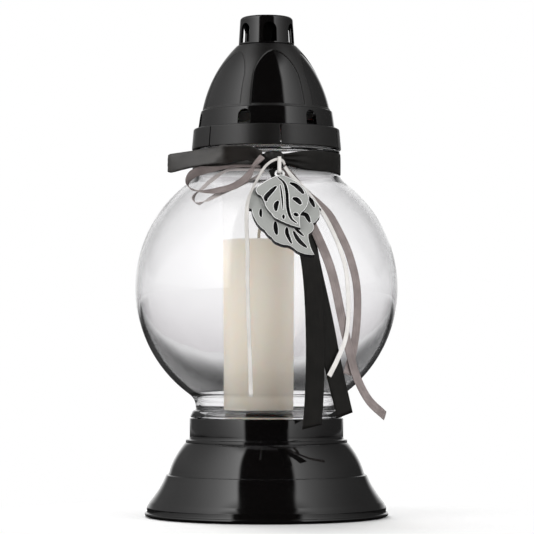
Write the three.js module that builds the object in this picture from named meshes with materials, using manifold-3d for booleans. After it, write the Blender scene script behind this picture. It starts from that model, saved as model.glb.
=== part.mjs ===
// A glass candle lamp: a stepped plastic foot, a blown glass globe, a vented cap with a slotted
// chimney, a wax insert that stands inside, and ribbons with a plated leaf tied round the neck.
// Millimetres, +Z up, the front faces -Y, and the origin is on the axis where the foot stands.

import * as THREE from 'three';
import { mergeVertices } from 'three/addons/utils/BufferGeometryUtils.js';
import Module from 'manifold-3d';

const wasm = await Module();
wasm.setup();

// Fits shared by the whole lamp
const SEAT_GAP = 0.3;
const SLIDE_GAP = 0.6;
const OVERRUN = 3;
const TURN_SIDES = 48;
const SMALL_TURN_SIDES = 32;
const BEND_STEPS = 5;
const MERGE_TOLERANCE = 1e-5;
const CLEAN_TOLERANCE = 0.01;

// Foot: a bead round the bottom, a short skirt, a hollow flare, a bowl and a collar
const FOOT_RADIUS = 79.9;
const FOOT_BEAD_PROUD = 1.3;
const FOOT_BEAD_HEIGHT = 3.4;
const FOOT_EDGE_RADIUS = 0.9;
const FOOT_SKIRT_HEIGHT = 7;
const WAIST_RADIUS = 67;
const WAIST_HEIGHT = 27.2;
const FLARE_CORNER_SHARES = [0.26, 0.56];
const BOWL_INSET = 1.8;
const BOWL_TOP_RADIUS = 54.6;
const BOWL_TOP_HEIGHT = 48.6;
const BOWL_CORNER_SHARES = [0.81, 0.51];
const LEDGE_INSET = 0.7;
const LEDGE_THICKNESS = 2.6;
const COLLAR_RADIUS = 51.3;
const COLLAR_FILLET = 0.6;
const COLLAR_FILLET_RISE = 2.4;
const COLLAR_HEIGHT = 65.5;
const COLLAR_EDGE = 0.5;
const BASE_WALL = 2.6;
const SOCKET_DEPTH = 7.5;
const GUSSET_COUNT = 6;
const GUSSET_THICKNESS = 1.6;
const GUSSET_START_RADIUS = 26;
const GUSSET_DEPTH = 15;
const GUSSET_TIP_DEPTH = 1.5;

// Glass globe: a spigot in the socket, a flange on the collar, two necks and a bead under the cap
const SPIGOT_RADIUS = 47.4;
const SPIGOT_EDGE = 1;
const FLANGE_RADIUS = 50.8;
const FLANGE_THICKNESS = 4.9;
const LOWER_NECK_RADIUS = 47.2;
const LOWER_NECK_HEIGHT = 14.2;
const GLOBE_RADIUS = 87.8;
const GLOBE_MOUTH_RADIUS = 49.67;
const GLASS_WALL = 3;
const GLASS_FLOOR = 4.4;
const NECK_RADIUS = 48.6;
const NECK_FILLET_RISE = 8;
const NECK_FILLET_SPREAD_SHARE = 0.7;
const NECK_FILLET_LEAN_SHARES = [0.55, 0.45];
const BEAD_PROUD = 0.8;
const BEAD_THICKNESS = 2.6;
const NECK_LENGTH = 15.02;
const LIP_RADIUS = 47;
const LIP_HEIGHT = 9.6;
const LIP_EDGE = 0.5;

// Cap: a slit skirt, a band with six vents, and a dome with six arched panels
const CAP_BEARING = THREE.MathUtils.degToRad(11);
const CAP_SECTORS = 6;
const CAP_WALL = 1.7;
const SKIRT_RADIUS = 50.1;
const SKIRT_TAPER = 1.1;
const SKIRT_HEIGHT = 14;
const SKIRT_EDGE = 1.2;
const SLIT_WIDTH = 1;
const BAND_RADIUS = 45.9;
const BAND_TAPER = 1.6;
const BAND_HEIGHT = 12;
const BAND_EDGE = 0.9;
const VENT_WIDTH = 8.9;
const VENT_HEIGHT = 9.6;
const VENT_SILL = 0.5;
const DOME_RADIUS = 43.2;
const DOME_HEIGHT = 44.2;
const DOME_CORNER_SHARES = [0.79, 0.58];
const DOME_TOP_RADIUS = 19.8;
const PANEL_DEPTH = 0.6;
const PANEL_HEIGHT = 38;
const PANEL_FOOT_SHARE = 0.02;
const PANEL_SPRING_SHARE = 0.5;
const RIB_ANGLE = THREE.MathUtils.degToRad(9.4);

// Chimney: a slotted knob on a spigot that catches under the dome
const CHIMNEY_RADIUS = 18.8;
const CHIMNEY_TAPER = 1;
const CHIMNEY_HEIGHT = 19;
const CHIMNEY_BEARING = THREE.MathUtils.degToRad(7.4);
const CHIMNEY_EDGE = 2.5;
const CHIMNEY_WALL = 1.8;
const CHIMNEY_SPIGOT_RADIUS = 15;
const CHIMNEY_SPIGOT_LENGTH = 5.4;
const CHIMNEY_FLANGE = 1;
const SLOT_ANGLE = THREE.MathUtils.degToRad(28.8);
const SLOT_TOP_MARGIN = 4.9;
const CATCH_COUNT = 3;
const CATCH_ANGLE = THREE.MathUtils.degToRad(26);
const CATCH_HEIGHT = 1.8;
const CATCH_PROUD = 0.9;

// Heat shield: a tinplate dish on six tabs that press outwards under the dome's ledge
const SHIELD_THICKNESS = 0.5;
const SHIELD_DISH_RADIUS = 22;
const SHIELD_DISH_DEPTH = 5;
const SHIELD_RIM_RADIUS = 34;
const TAB_COUNT = 6;
const TAB_WIDTH = 9;

// Candle insert: a clear cup of wax with a wick on a tin foot
const INSERT_OFFSET = -5.3;
const CUP_RADIUS = 25;
const CUP_TAPER = 0.7;
const CUP_HEIGHT = 167;
const CUP_WALL = 0.8;
const CUP_RING_HEIGHT = 136;
const CUP_RING_WIDTH = 1.6;
const CUP_RING_PROUD = 0.4;
const CUP_RING_SHARES = [0, 0.25, 0.75, 1];
const WAX_HEIGHT = 121.5;
const WAX_EDGE = 0.8;
const WAX_DIP = 1;
const WICK_RADIUS = 1.2;
const WICK_ABOVE_WAX = 10;
const WICK_SIDES = 8;
const SUSTAINER_RADIUS = 9;
const SUSTAINER_THICKNESS = 0.5;
const SUSTAINER_NECK_HEIGHT = 5;

// Ribbons
const BLACK_WIDTH = 12.7;
const TAUPE_WIDTH = 6.4;
const WHITE_WIDTH = 3.2;
const RIBBON_THICKNESS = 0.5;
const KNOT_BELOW_BEAD = 9.9;
const KNOT_ACROSS = 4.5;
const KNOT_OUT = 53.6;
const KNOT_RADII = [7, 3.4, 5.6];
const KNOT_SIDES = 16;

// Leaf: a small leaf raised on a large one, hung by an eye from a ribbon loop
const LOOP_DEPTH = 3.6;
const LOOP_RISE = 7.4;
const LOOP_WIDTH = 2;
const LOOP_HEAD_STEPS = 4;
const LOOP_FOOT_STEPS = 6;
const LEAF_BEARING = THREE.MathUtils.degToRad(8);
const EYE_RADIUS_OUT = 60;
const EYE_BELOW_BEAD = 17.9;
const LEAF_STAND_OFF = 2.9;
const LEAF_LENGTH = 70.4;
const LEAF_WIDTH = 48;
const LEAF_THICKNESS = 3;
const SMALL_LEAF_LENGTH = 44.4;
const SMALL_LEAF_WIDTH = 34.2;
const SMALL_LEAF_RAISE = 2.4;
const SMALL_LEAF_DROP = 3;
const EYE_BORE = 3.6;
const EYE_BAR = 1.6;
const EYE_LAP = 1.4;
const VEIN_DEPTH = 1.8;
const VEIN_WIDTH = 1.7;
const MIDRIB_WIDTH = 1.6;

// The other leg of a right-angled triangle.
function legOf(longest, leg) {
  return Math.sqrt(longest * longest - leg * leg);
}

// Heights that follow from the pieces that stand on each other
const socketFloor = COLLAR_HEIGHT - SOCKET_DEPTH;
const glassSeat = COLLAR_HEIGHT + SEAT_GAP;
const glassFloor = socketFloor + SEAT_GAP + GLASS_FLOOR;
const globeCentre = glassSeat + LOWER_NECK_HEIGHT + legOf(GLOBE_RADIUS, GLOBE_MOUTH_RADIUS);
const shoulderRadius = NECK_RADIUS + NECK_FILLET_RISE * NECK_FILLET_SPREAD_SHARE;
const neckFoot = globeCentre + legOf(GLOBE_RADIUS, shoulderRadius) + NECK_FILLET_RISE;
const beadTop = neckFoot + NECK_LENGTH;
const glassTop = beadTop + LIP_HEIGHT;
const capSeat = beadTop + SEAT_GAP;
const skirtTop = capSeat + SKIRT_HEIGHT;
const shoulderUnder = skirtTop - CAP_WALL;
const bandTop = skirtTop + BAND_HEIGHT;
const domeLedge = bandTop - CAP_WALL;
const domeTop = bandTop + DOME_HEIGHT;
const chimneySeat = domeTop + SEAT_GAP;
const insertSeat = glassFloor + SEAT_GAP;
const knotHeight = beadTop - KNOT_BELOW_BEAD;
const eyeHeight = beadTop - EYE_BELOW_BEAD;

// Finishes
const finish = (color, roughness, metalness = 0, opacity = 1) =>
  new THREE.MeshStandardMaterial({ color, roughness, metalness, opacity, transparent: opacity < 1 });
const GLOSS_BLACK = finish(0x0b0a0a, 0.12);
const SATIN_BLACK = finish(0x1a1918, 0.4);
const CLEAR_GLASS = finish(0xf2f5f4, 0.03, 0, 0.3);
const TINPLATE = finish(0xb9babb, 0.35, 1);
const FROSTED_CUP = finish(0xe6e3dc, 0.45, 0, 0.5);
const PALE_WAX = finish(0xcfc4b6, 0.55);
const COTTON = finish(0xe8e2d4, 0.9);
const BLACK_SATIN = finish(0x272420, 0.5);
const TAUPE_SATIN = finish(0x7b6e6c, 0.5);
const WHITE_SATIN = finish(0xd9d6d1, 0.45);
const CHROME = finish(0xd6d8d9, 0.08, 1);

const lamp = new THREE.Group();

// Six times the volume inside a closed run of triangles, negative when its faces point inwards.
function signedVolume(positions, triangles) {
  const corner = (i) => new THREE.Vector3().fromArray(positions, 3 * triangles[i]);
  let total = 0;
  for (let i = 0; i < triangles.length; i += 3) {
    total += corner(i).dot(corner(i + 1).cross(corner(i + 2)));
  }
  return total;
}

// A closed three.js geometry as a solid that can be cut and joined, with its faces turned outwards.
function toSolid(geometry) {
  const bare = geometry.clone();
  bare.deleteAttribute('normal');
  bare.deleteAttribute('uv');
  const merged = mergeVertices(bare, MERGE_TOLERANCE);
  const positions = merged.attributes.position.array;
  const triangles = [];
  for (let i = 0; i < merged.index.count; i += 3) {
    const [a, b, c] = [0, 1, 2].map((k) => merged.index.getX(i + k));
    if (a !== b && b !== c && c !== a) triangles.push(a, b, c);
  }
  if (signedVolume(positions, triangles) < 0) triangles.reverse();
  const mesh = new wasm.Mesh({
    numProp: 3,
    vertProperties: new Float32Array(positions),
    triVerts: new Uint32Array(triangles),
  });
  return new wasm.Manifold(mesh);
}

// A solid as a geometry that can be drawn.
function toGeometry(solid) {
  const mesh = solid.simplify(CLEAN_TOLERANCE).getMesh();
  const geometry = new THREE.BufferGeometry();
  geometry.setAttribute('position', new THREE.BufferAttribute(new Float32Array(mesh.vertProperties), 3));
  geometry.setIndex(new THREE.BufferAttribute(new Uint32Array(mesh.triVerts), 1));
  geometry.computeVertexNormals();
  return geometry;
}

// Adds one named piece to a group.
function addPiece(name, solid, material, parent = lamp) {
  const mesh = new THREE.Mesh(toGeometry(solid), material);
  mesh.name = name;
  parent.add(mesh);
  return mesh;
}

// Points of a curve from start to end that leans towards corner, without its start.
function bend(start, corner, end, steps = BEND_STEPS) {
  const [a, b, c] = [start, corner, end].map(([x, y]) => new THREE.Vector2(x, y));
  return new THREE.QuadraticBezierCurve(a, b, c).getPoints(steps).slice(1).map((p) => [p.x, p.y]);
}

// The point at given shares of the way from one corner of a box to the other.
function between([ax, ay], [bx, by], [shareX, shareY]) {
  return [ax + (bx - ax) * shareX, ay + (by - ay) * shareY];
}

// Points of an arc about a centre, from one angle to another.
function arc([cx, cy], radius, from, to, steps = BEND_STEPS) {
  return Array.from({ length: steps + 1 }, (_, i) => {
    const angle = from + ((to - from) * i) / steps;
    return [cx + radius * Math.cos(angle), cy + radius * Math.sin(angle)];
  });
}

// Moves every point of an outline sideways and up.
function shifted(outline, across, up = 0) {
  return outline.map(([r, z]) => [r + across, z + up]);
}

// A solid turned about the axis from an outline of [radius, height] points. An outline that doesn't
// start and end on the axis is closed on itself.
function revolve(outline, sides = TURN_SIDES) {
  const onAxis = outline[0][0] === 0 && outline[outline.length - 1][0] === 0;
  const closed = onAxis ? outline : [...outline, outline[0]];
  const points = closed.map(([r, z]) => new THREE.Vector2(r, z));
  const geometry = new THREE.LatheGeometry(points, sides);
  geometry.rotateX(Math.PI / 2);
  return toSolid(geometry);
}

// A prism that runs outwards from one radius to another. Its outline is drawn in angle from the
// front and in height.
function radialPrism(outline, innerRadius, outerRadius) {
  const shape = new THREE.Shape(outline.map(([angle, z]) => new THREE.Vector2(angle, z)));
  const geometry = new THREE.ExtrudeGeometry(shape, {
    depth: outerRadius - innerRadius,
    bevelEnabled: false,
  });
  const place = geometry.attributes.position;
  for (let i = 0; i < place.count; i += 1) {
    const angle = place.getX(i);
    const radius = innerRadius + place.getZ(i);
    place.setXYZ(i, radius * Math.sin(angle), -radius * Math.cos(angle), place.getY(i));
  }
  return toSolid(geometry);
}

// The outline of an arched opening in angle and height: straight sides and a half-round head.
function arch(halfAngle, foot, spring, crown, steps = 6) {
  const head = Array.from({ length: steps + 1 }, (_, i) => {
    const turn = (Math.PI * i) / steps;
    return [halfAngle * Math.cos(turn), spring + (crown - spring) * Math.sin(turn)];
  });
  return [[-halfAngle, foot], [halfAngle, foot], ...head];
}

// Copies of a solid set evenly round the axis.
function around(solid, count, bearing = 0) {
  return Array.from({ length: count }, (_, i) => {
    const degrees = THREE.MathUtils.radToDeg(bearing) + (360 * i) / count;
    return solid.rotate([0, 0, degrees]);
  });
}

const join = (solids) => solids.reduce((all, next) => all.add(next));
const cut = (solid, cutters) => cutters.reduce((rest, next) => rest.subtract(next), solid);

// Foot

// The foot's outer surface above its skirt, moved inwards by a wall: flare, step, bowl and ledge.
function footSlope(wall) {
  const skirt = [FOOT_RADIUS - wall, FOOT_SKIRT_HEIGHT];
  const waist = [WAIST_RADIUS - wall, WAIST_HEIGHT];
  const bowlFoot = [WAIST_RADIUS - BOWL_INSET - wall, WAIST_HEIGHT];
  const bowlTop = [BOWL_TOP_RADIUS - wall, BOWL_TOP_HEIGHT];
  return {
    flare: [skirt, ...bend(skirt, between(waist, skirt, [FLARE_CORNER_SHARES[0],
      1 - FLARE_CORNER_SHARES[1]]), waist)],
    bowl: [bowlFoot, ...bend(bowlFoot, between(bowlTop, bowlFoot, [BOWL_CORNER_SHARES[0],
      1 - BOWL_CORNER_SHARES[1]]), bowlTop)],
  };
}

function makeBaseShell() {
  const outer = footSlope(0);
  const inner = footSlope(BASE_WALL);
  const ledge = BOWL_TOP_RADIUS - LEDGE_INSET;
  const socket = SPIGOT_RADIUS + SLIDE_GAP;
  const under = socketFloor - BASE_WALL;
  const bead = arc([FOOT_RADIUS, FOOT_BEAD_HEIGHT / 2], FOOT_BEAD_PROUD, -Math.PI / 3, Math.PI / 2, 3);
  const outline = [
    [FOOT_RADIUS - BASE_WALL, 0],
    [FOOT_RADIUS - FOOT_EDGE_RADIUS, 0],
    ...bead,
    ...outer.flare,
    ...outer.bowl,
    [ledge, BOWL_TOP_HEIGHT + COLLAR_FILLET],
    [ledge, BOWL_TOP_HEIGHT + LEDGE_THICKNESS],
    [COLLAR_RADIUS + COLLAR_FILLET, BOWL_TOP_HEIGHT + LEDGE_THICKNESS + COLLAR_FILLET],
    [COLLAR_RADIUS, BOWL_TOP_HEIGHT + LEDGE_THICKNESS + COLLAR_FILLET_RISE],
    [COLLAR_RADIUS, COLLAR_HEIGHT - COLLAR_EDGE],
    [COLLAR_RADIUS - COLLAR_EDGE, COLLAR_HEIGHT],
    [socket, COLLAR_HEIGHT],
    [socket, socketFloor],
    [0, socketFloor],
    [0, under],
    [COLLAR_RADIUS - BASE_WALL, under],
    ...inner.bowl.toReversed(),
    ...inner.flare.toReversed(),
  ];
  const start = outline.findIndex(([r]) => r === 0);
  const fromAxis = [...outline.slice(start + 1), ...outline.slice(0, start + 1)];
  const filled = revolve([[0, 0], ...shifted([...outer.flare, ...outer.bowl], -BASE_WALL / 2),
    [COLLAR_RADIUS - BASE_WALL / 2, under + BASE_WALL / 2], [0, under + BASE_WALL / 2]]);
  const web = new THREE.Shape([
    new THREE.Vector2(GUSSET_START_RADIUS, under + BASE_WALL / 2),
    new THREE.Vector2(GUSSET_START_RADIUS, under - GUSSET_TIP_DEPTH),
    new THREE.Vector2(FOOT_RADIUS, under - GUSSET_DEPTH),
    new THREE.Vector2(FOOT_RADIUS, under + BASE_WALL / 2),
  ]);
  const plate = new THREE.ExtrudeGeometry(web, { depth: GUSSET_THICKNESS, bevelEnabled: false });
  plate.translate(0, 0, -GUSSET_THICKNESS / 2);
  plate.rotateX(Math.PI / 2);
  const gussets = around(toSolid(plate), GUSSET_COUNT).map((gusset) => gusset.intersect(filled));
  return join([revolve(fromAxis), ...gussets]);
}

// Glass

// The globe's outer radius at a height, with the neck above the shoulder.
function glassRadiusAt(z, stand = 0) {
  const rise = z - globeCentre;
  const reach = GLOBE_RADIUS + stand;
  if (rise <= 0) return reach;
  return Math.max(Math.sqrt(Math.max(reach * reach - rise * rise, 0)), NECK_RADIUS + stand);
}

// The angle above the globe's middle at which a sphere meets a cylinder of the given radius.
const angleUp = (sphere, radius) => Math.acos(radius / sphere);

function makeGlassGlobe() {
  const inside = GLOBE_RADIUS - GLASS_WALL;
  const spigotFoot = glassFloor - GLASS_FLOOR;
  const flangeTop = glassSeat + FLANGE_THICKNESS;
  const lowerNeckTop = glassSeat + LOWER_NECK_HEIGHT;
  const neckInside = NECK_RADIUS - GLASS_WALL;
  const shoulder = angleUp(GLOBE_RADIUS, shoulderRadius);
  const shoulderInside = angleUp(inside, shoulderRadius - GLASS_WALL);
  const [leanOut, leanIn] = NECK_FILLET_LEAN_SHARES;
  const foot = Math.asin((lowerNeckTop - globeCentre) / GLOBE_RADIUS);
  const footInside = Math.asin((lowerNeckTop - globeCentre) / inside);
  const outerGlobe = arc([0, globeCentre], GLOBE_RADIUS, foot, shoulder, 13);
  const innerGlobe = arc([0, globeCentre], inside, shoulderInside, footInside, 10);
  const shoulderEnd = outerGlobe[outerGlobe.length - 1];
  const innerFoot = [neckInside, innerGlobe[0][1] + NECK_FILLET_RISE];
  const bead = [NECK_RADIUS, beadTop - BEAD_THICKNESS / 2];
  const outline = [
    [0, spigotFoot],
    [SPIGOT_RADIUS - SPIGOT_EDGE, spigotFoot],
    [SPIGOT_RADIUS, spigotFoot + SPIGOT_EDGE],
    [SPIGOT_RADIUS, glassSeat],
    [FLANGE_RADIUS - SPIGOT_EDGE, glassSeat],
    ...arc([FLANGE_RADIUS - FLANGE_THICKNESS / 2, glassSeat + FLANGE_THICKNESS / 2],
      FLANGE_THICKNESS / 2, -Math.PI / 3, Math.PI / 3, 3),
    [LOWER_NECK_RADIUS, flangeTop],
    ...outerGlobe,
    ...bend(shoulderEnd, [NECK_RADIUS, shoulderEnd[1] + NECK_FILLET_RISE * leanOut],
      [NECK_RADIUS, neckFoot], 3),
    [NECK_RADIUS, beadTop - BEAD_THICKNESS],
    ...arc(bead, BEAD_THICKNESS / 2, -Math.PI / 4, Math.PI / 4, 2)
      .map(([r, z]) => [r - BEAD_THICKNESS / 2 + BEAD_PROUD, z]),
    [LIP_RADIUS, beadTop],
    [LIP_RADIUS, glassTop - LIP_EDGE],
    [LIP_RADIUS - LIP_EDGE, glassTop],
    [neckInside + LIP_EDGE, glassTop],
    [neckInside, glassTop - LIP_EDGE],
    innerFoot,
    ...bend(innerFoot, [neckInside, innerFoot[1] - NECK_FILLET_RISE * leanIn], innerGlobe[0], 2),
    ...innerGlobe.slice(1),
    [LOWER_NECK_RADIUS - GLASS_WALL, flangeTop],
    [LOWER_NECK_RADIUS - GLASS_WALL, glassFloor + GLASS_WALL],
    [LOWER_NECK_RADIUS - 2 * GLASS_WALL, glassFloor],
    [0, glassFloor],
  ];
  return revolve(outline);
}

// Cap

// The dome's outer curve from the band to the top, moved inwards by a wall.
function domeCurve(wall) {
  const foot = [DOME_RADIUS - wall, bandTop];
  const top = [DOME_TOP_RADIUS - wall, domeTop];
  return [foot, ...bend(foot, between(top, foot, [DOME_CORNER_SHARES[0], 1 - DOME_CORNER_SHARES[1]]),
    top, 7)];
}

function makeCapShell() {
  const skirtFoot = SKIRT_RADIUS - CAP_WALL;
  const skirtHead = SKIRT_RADIUS - SKIRT_TAPER;
  const bandHead = BAND_RADIUS - BAND_TAPER;
  const hole = CHIMNEY_SPIGOT_RADIUS + SEAT_GAP;
  const outline = [
    [skirtFoot, capSeat],
    [SKIRT_RADIUS, capSeat],
    [skirtHead, skirtTop - SKIRT_EDGE],
    [skirtHead - SKIRT_EDGE, skirtTop],
    [BAND_RADIUS, skirtTop],
    [bandHead, bandTop - BAND_EDGE],
    [bandHead - BAND_EDGE, bandTop],
    ...domeCurve(0),
    [hole, domeTop],
    [hole, domeTop - CAP_WALL],
    ...domeCurve(CAP_WALL).toReversed().slice(1).map(([r, z]) => [r, Math.min(z, domeTop - CAP_WALL)]),
    [DOME_RADIUS - CAP_WALL, domeLedge],
    [bandHead - CAP_WALL, domeLedge],
    [BAND_RADIUS - CAP_WALL, shoulderUnder],
    [skirtHead - CAP_WALL, shoulderUnder],
  ];
  const sector = (2 * Math.PI) / CAP_SECTORS;
  const slitHalf = SLIT_WIDTH / 2 / SKIRT_RADIUS;
  const slit = radialPrism([[-slitHalf, capSeat - OVERRUN], [slitHalf, capSeat - OVERRUN],
    [slitHalf, skirtTop + OVERRUN], [-slitHalf, skirtTop + OVERRUN]],
    skirtHead - CAP_WALL, SKIRT_RADIUS + OVERRUN);
  const ventHalf = VENT_WIDTH / 2 / BAND_RADIUS;
  const ventFoot = skirtTop + VENT_SILL;
  const vent = radialPrism(arch(ventHalf, ventFoot, ventFoot + VENT_HEIGHT - VENT_WIDTH / 2,
    ventFoot + VENT_HEIGHT), bandHead - CAP_WALL - OVERRUN, BAND_RADIUS + OVERRUN);
  const skin = revolve([...shifted(domeCurve(0), -PANEL_DEPTH), ...shifted(domeCurve(0), OVERRUN)
    .toReversed()]);
  const panelFoot = bandTop + DOME_HEIGHT * PANEL_FOOT_SHARE;
  const panel = radialPrism(arch(sector / 2 - RIB_ANGLE / 2, panelFoot,
    panelFoot + PANEL_HEIGHT * PANEL_SPRING_SHARE, panelFoot + PANEL_HEIGHT, 8),
    DOME_TOP_RADIUS / 2, 2 * DOME_RADIUS).intersect(skin);
  const panels = around(panel, CAP_SECTORS, CAP_BEARING);
  const slits = around(slit, CAP_SECTORS, CAP_BEARING);
  const vents = around(vent, CAP_SECTORS, CAP_BEARING + sector / 2);
  return cut(revolve(outline), [...panels, ...slits, ...vents]);
}

function makeChimney() {
  const foot = chimneySeat;
  const top = chimneySeat + CHIMNEY_HEIGHT;
  const head = CHIMNEY_RADIUS - CHIMNEY_TAPER;
  const spigotFoot = foot - CHIMNEY_SPIGOT_LENGTH;
  const bore = CHIMNEY_SPIGOT_RADIUS - CHIMNEY_WALL;
  const outline = [
    [bore, spigotFoot],
    [CHIMNEY_SPIGOT_RADIUS, spigotFoot],
    [CHIMNEY_SPIGOT_RADIUS, foot],
    [CHIMNEY_RADIUS, foot],
    ...arc([head - CHIMNEY_EDGE, top - CHIMNEY_EDGE], CHIMNEY_EDGE, 0, Math.PI / 2, 3),
    [0, top],
    [0, top - CHIMNEY_WALL],
    [head - CHIMNEY_EDGE, top - CHIMNEY_WALL],
    [head - CHIMNEY_WALL, top - CHIMNEY_EDGE],
    [CHIMNEY_RADIUS - CHIMNEY_WALL, foot + CHIMNEY_FLANGE],
    [bore, foot + CHIMNEY_FLANGE],
  ];
  const start = outline.findIndex(([r]) => r === 0);
  const fromAxis = [...outline.slice(start + 1), ...outline.slice(0, start + 1)];
  const crown = top - SLOT_TOP_MARGIN;
  const slot = radialPrism(arch(SLOT_ANGLE / 2, foot + CHIMNEY_FLANGE, crown - SLOT_TOP_MARGIN, crown),
    bore - OVERRUN, CHIMNEY_RADIUS + OVERRUN);
  const catchTop = domeTop - CAP_WALL - 2 * SEAT_GAP;
  const half = CATCH_ANGLE / 2;
  const lug = radialPrism([[-half, catchTop - CATCH_HEIGHT], [0, catchTop - CATCH_HEIGHT],
    [half, catchTop - CATCH_HEIGHT], [half, catchTop], [0, catchTop], [-half, catchTop]],
    CHIMNEY_SPIGOT_RADIUS - CHIMNEY_WALL / 2, CHIMNEY_SPIGOT_RADIUS + CATCH_PROUD);
  const slotted = cut(revolve(fromAxis), around(slot, CAP_SECTORS, CHIMNEY_BEARING));
  return join([slotted, ...around(lug, CATCH_COUNT, CHIMNEY_BEARING)]);
}

function makeHeatShield() {
  const rimTop = domeLedge - SEAT_GAP;
  const rimUnder = rimTop - SHIELD_THICKNESS;
  const tip = BAND_RADIUS - BAND_TAPER - CAP_WALL - SEAT_GAP;
  const dish = revolve([
    [0, rimUnder - SHIELD_DISH_DEPTH],
    [SHIELD_DISH_RADIUS, rimUnder - SHIELD_DISH_DEPTH],
    [SHIELD_RIM_RADIUS - SHIELD_DISH_DEPTH, rimUnder],
    [SHIELD_RIM_RADIUS, rimUnder],
    [SHIELD_RIM_RADIUS, rimTop],
    [SHIELD_RIM_RADIUS - SHIELD_DISH_DEPTH, rimTop],
    [SHIELD_DISH_RADIUS, rimTop - SHIELD_DISH_DEPTH],
    [0, rimTop - SHIELD_DISH_DEPTH],
  ]);
  const inward = SHIELD_RIM_RADIUS - OVERRUN;
  const reach = Math.sqrt(tip * tip - (TAB_WIDTH * TAB_WIDTH) / 4);
  const tab = new THREE.BoxGeometry(TAB_WIDTH, reach - inward, SHIELD_THICKNESS);
  tab.translate(0, -(reach + inward) / 2, rimTop - SHIELD_THICKNESS / 2);
  return join([dish, ...around(toSolid(tab), TAB_COUNT, CAP_BEARING)]);
}

// Candle insert, drawn on its own axis

const cupFloor = insertSeat + CUP_WALL;
const waxFoot = cupFloor + SEAT_GAP;
const waxTop = insertSeat + WAX_HEIGHT;

// The cup's outer radius at a height.
function cupRadiusAt(z) {
  return CUP_RADIUS - CUP_TAPER * (1 - (z - insertSeat) / CUP_HEIGHT);
}

function makeInsertCup() {
  const top = insertSeat + CUP_HEIGHT;
  const ringFoot = insertSeat + CUP_RING_HEIGHT;
  const ring = CUP_RING_SHARES.map((share, i) => {
    const z = ringFoot + CUP_RING_WIDTH * share;
    return [cupRadiusAt(z) + (i % 3 ? CUP_RING_PROUD : 0), z];
  });
  return revolve([
    [0, insertSeat],
    [cupRadiusAt(insertSeat), insertSeat],
    ...ring,
    [CUP_RADIUS, top],
    [CUP_RADIUS - CUP_WALL, top],
    [cupRadiusAt(cupFloor) - CUP_WALL, cupFloor],
    [0, cupFloor],
  ], SMALL_TURN_SIDES);
}

function makeWax() {
  const outside = (z) => cupRadiusAt(z) - CUP_WALL - SEAT_GAP;
  const bore = WICK_RADIUS + SEAT_GAP;
  const neck = bore + SUSTAINER_THICKNESS + SEAT_GAP;
  const recess = waxFoot + SUSTAINER_THICKNESS + SEAT_GAP;
  const neckTop = recess + SUSTAINER_NECK_HEIGHT + SEAT_GAP;
  return revolve([
    [SUSTAINER_RADIUS + SEAT_GAP, waxFoot],
    [outside(waxFoot), waxFoot],
    [outside(waxTop - WAX_EDGE), waxTop - WAX_EDGE],
    [outside(waxTop) - WAX_EDGE, waxTop],
    [outside(waxTop) / 2, waxTop - WAX_DIP],
    [bore, waxTop - WAX_DIP / 2],
    [bore, neckTop],
    [neck, neckTop],
    [neck, recess],
    [SUSTAINER_RADIUS + SEAT_GAP, recess],
  ], SMALL_TURN_SIDES);
}

function makeSustainer() {
  const bore = WICK_RADIUS + SEAT_GAP;
  const deck = waxFoot + SUSTAINER_THICKNESS;
  return revolve([
    [bore, waxFoot],
    [SUSTAINER_RADIUS, waxFoot],
    [SUSTAINER_RADIUS, deck],
    [bore + SUSTAINER_THICKNESS, deck],
    [bore + SUSTAINER_THICKNESS, deck + SUSTAINER_NECK_HEIGHT],
    [bore, deck + SUSTAINER_NECK_HEIGHT],
  ], SMALL_TURN_SIDES);
}

function makeWick() {
  const round = Array.from({ length: WICK_SIDES }, (_, i) => {
    const angle = (2 * Math.PI * i) / WICK_SIDES;
    return new THREE.Vector2(WICK_RADIUS * Math.cos(angle), WICK_RADIUS * Math.sin(angle));
  });
  const top = waxTop + WICK_ABOVE_WAX;
  const path = new THREE.CatmullRomCurve3([
    new THREE.Vector3(0, 0, waxFoot),
    new THREE.Vector3(0, 0, waxTop - WICK_ABOVE_WAX),
    new THREE.Vector3(0, 0, waxTop),
    new THREE.Vector3(WICK_RADIUS, 0, top),
  ], false, 'centripetal');
  return toSolid(new THREE.ExtrudeGeometry(new THREE.Shape(round), { steps: 16, extrudePath: path,
    bevelEnabled: false }));
}

// Ribbons

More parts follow.
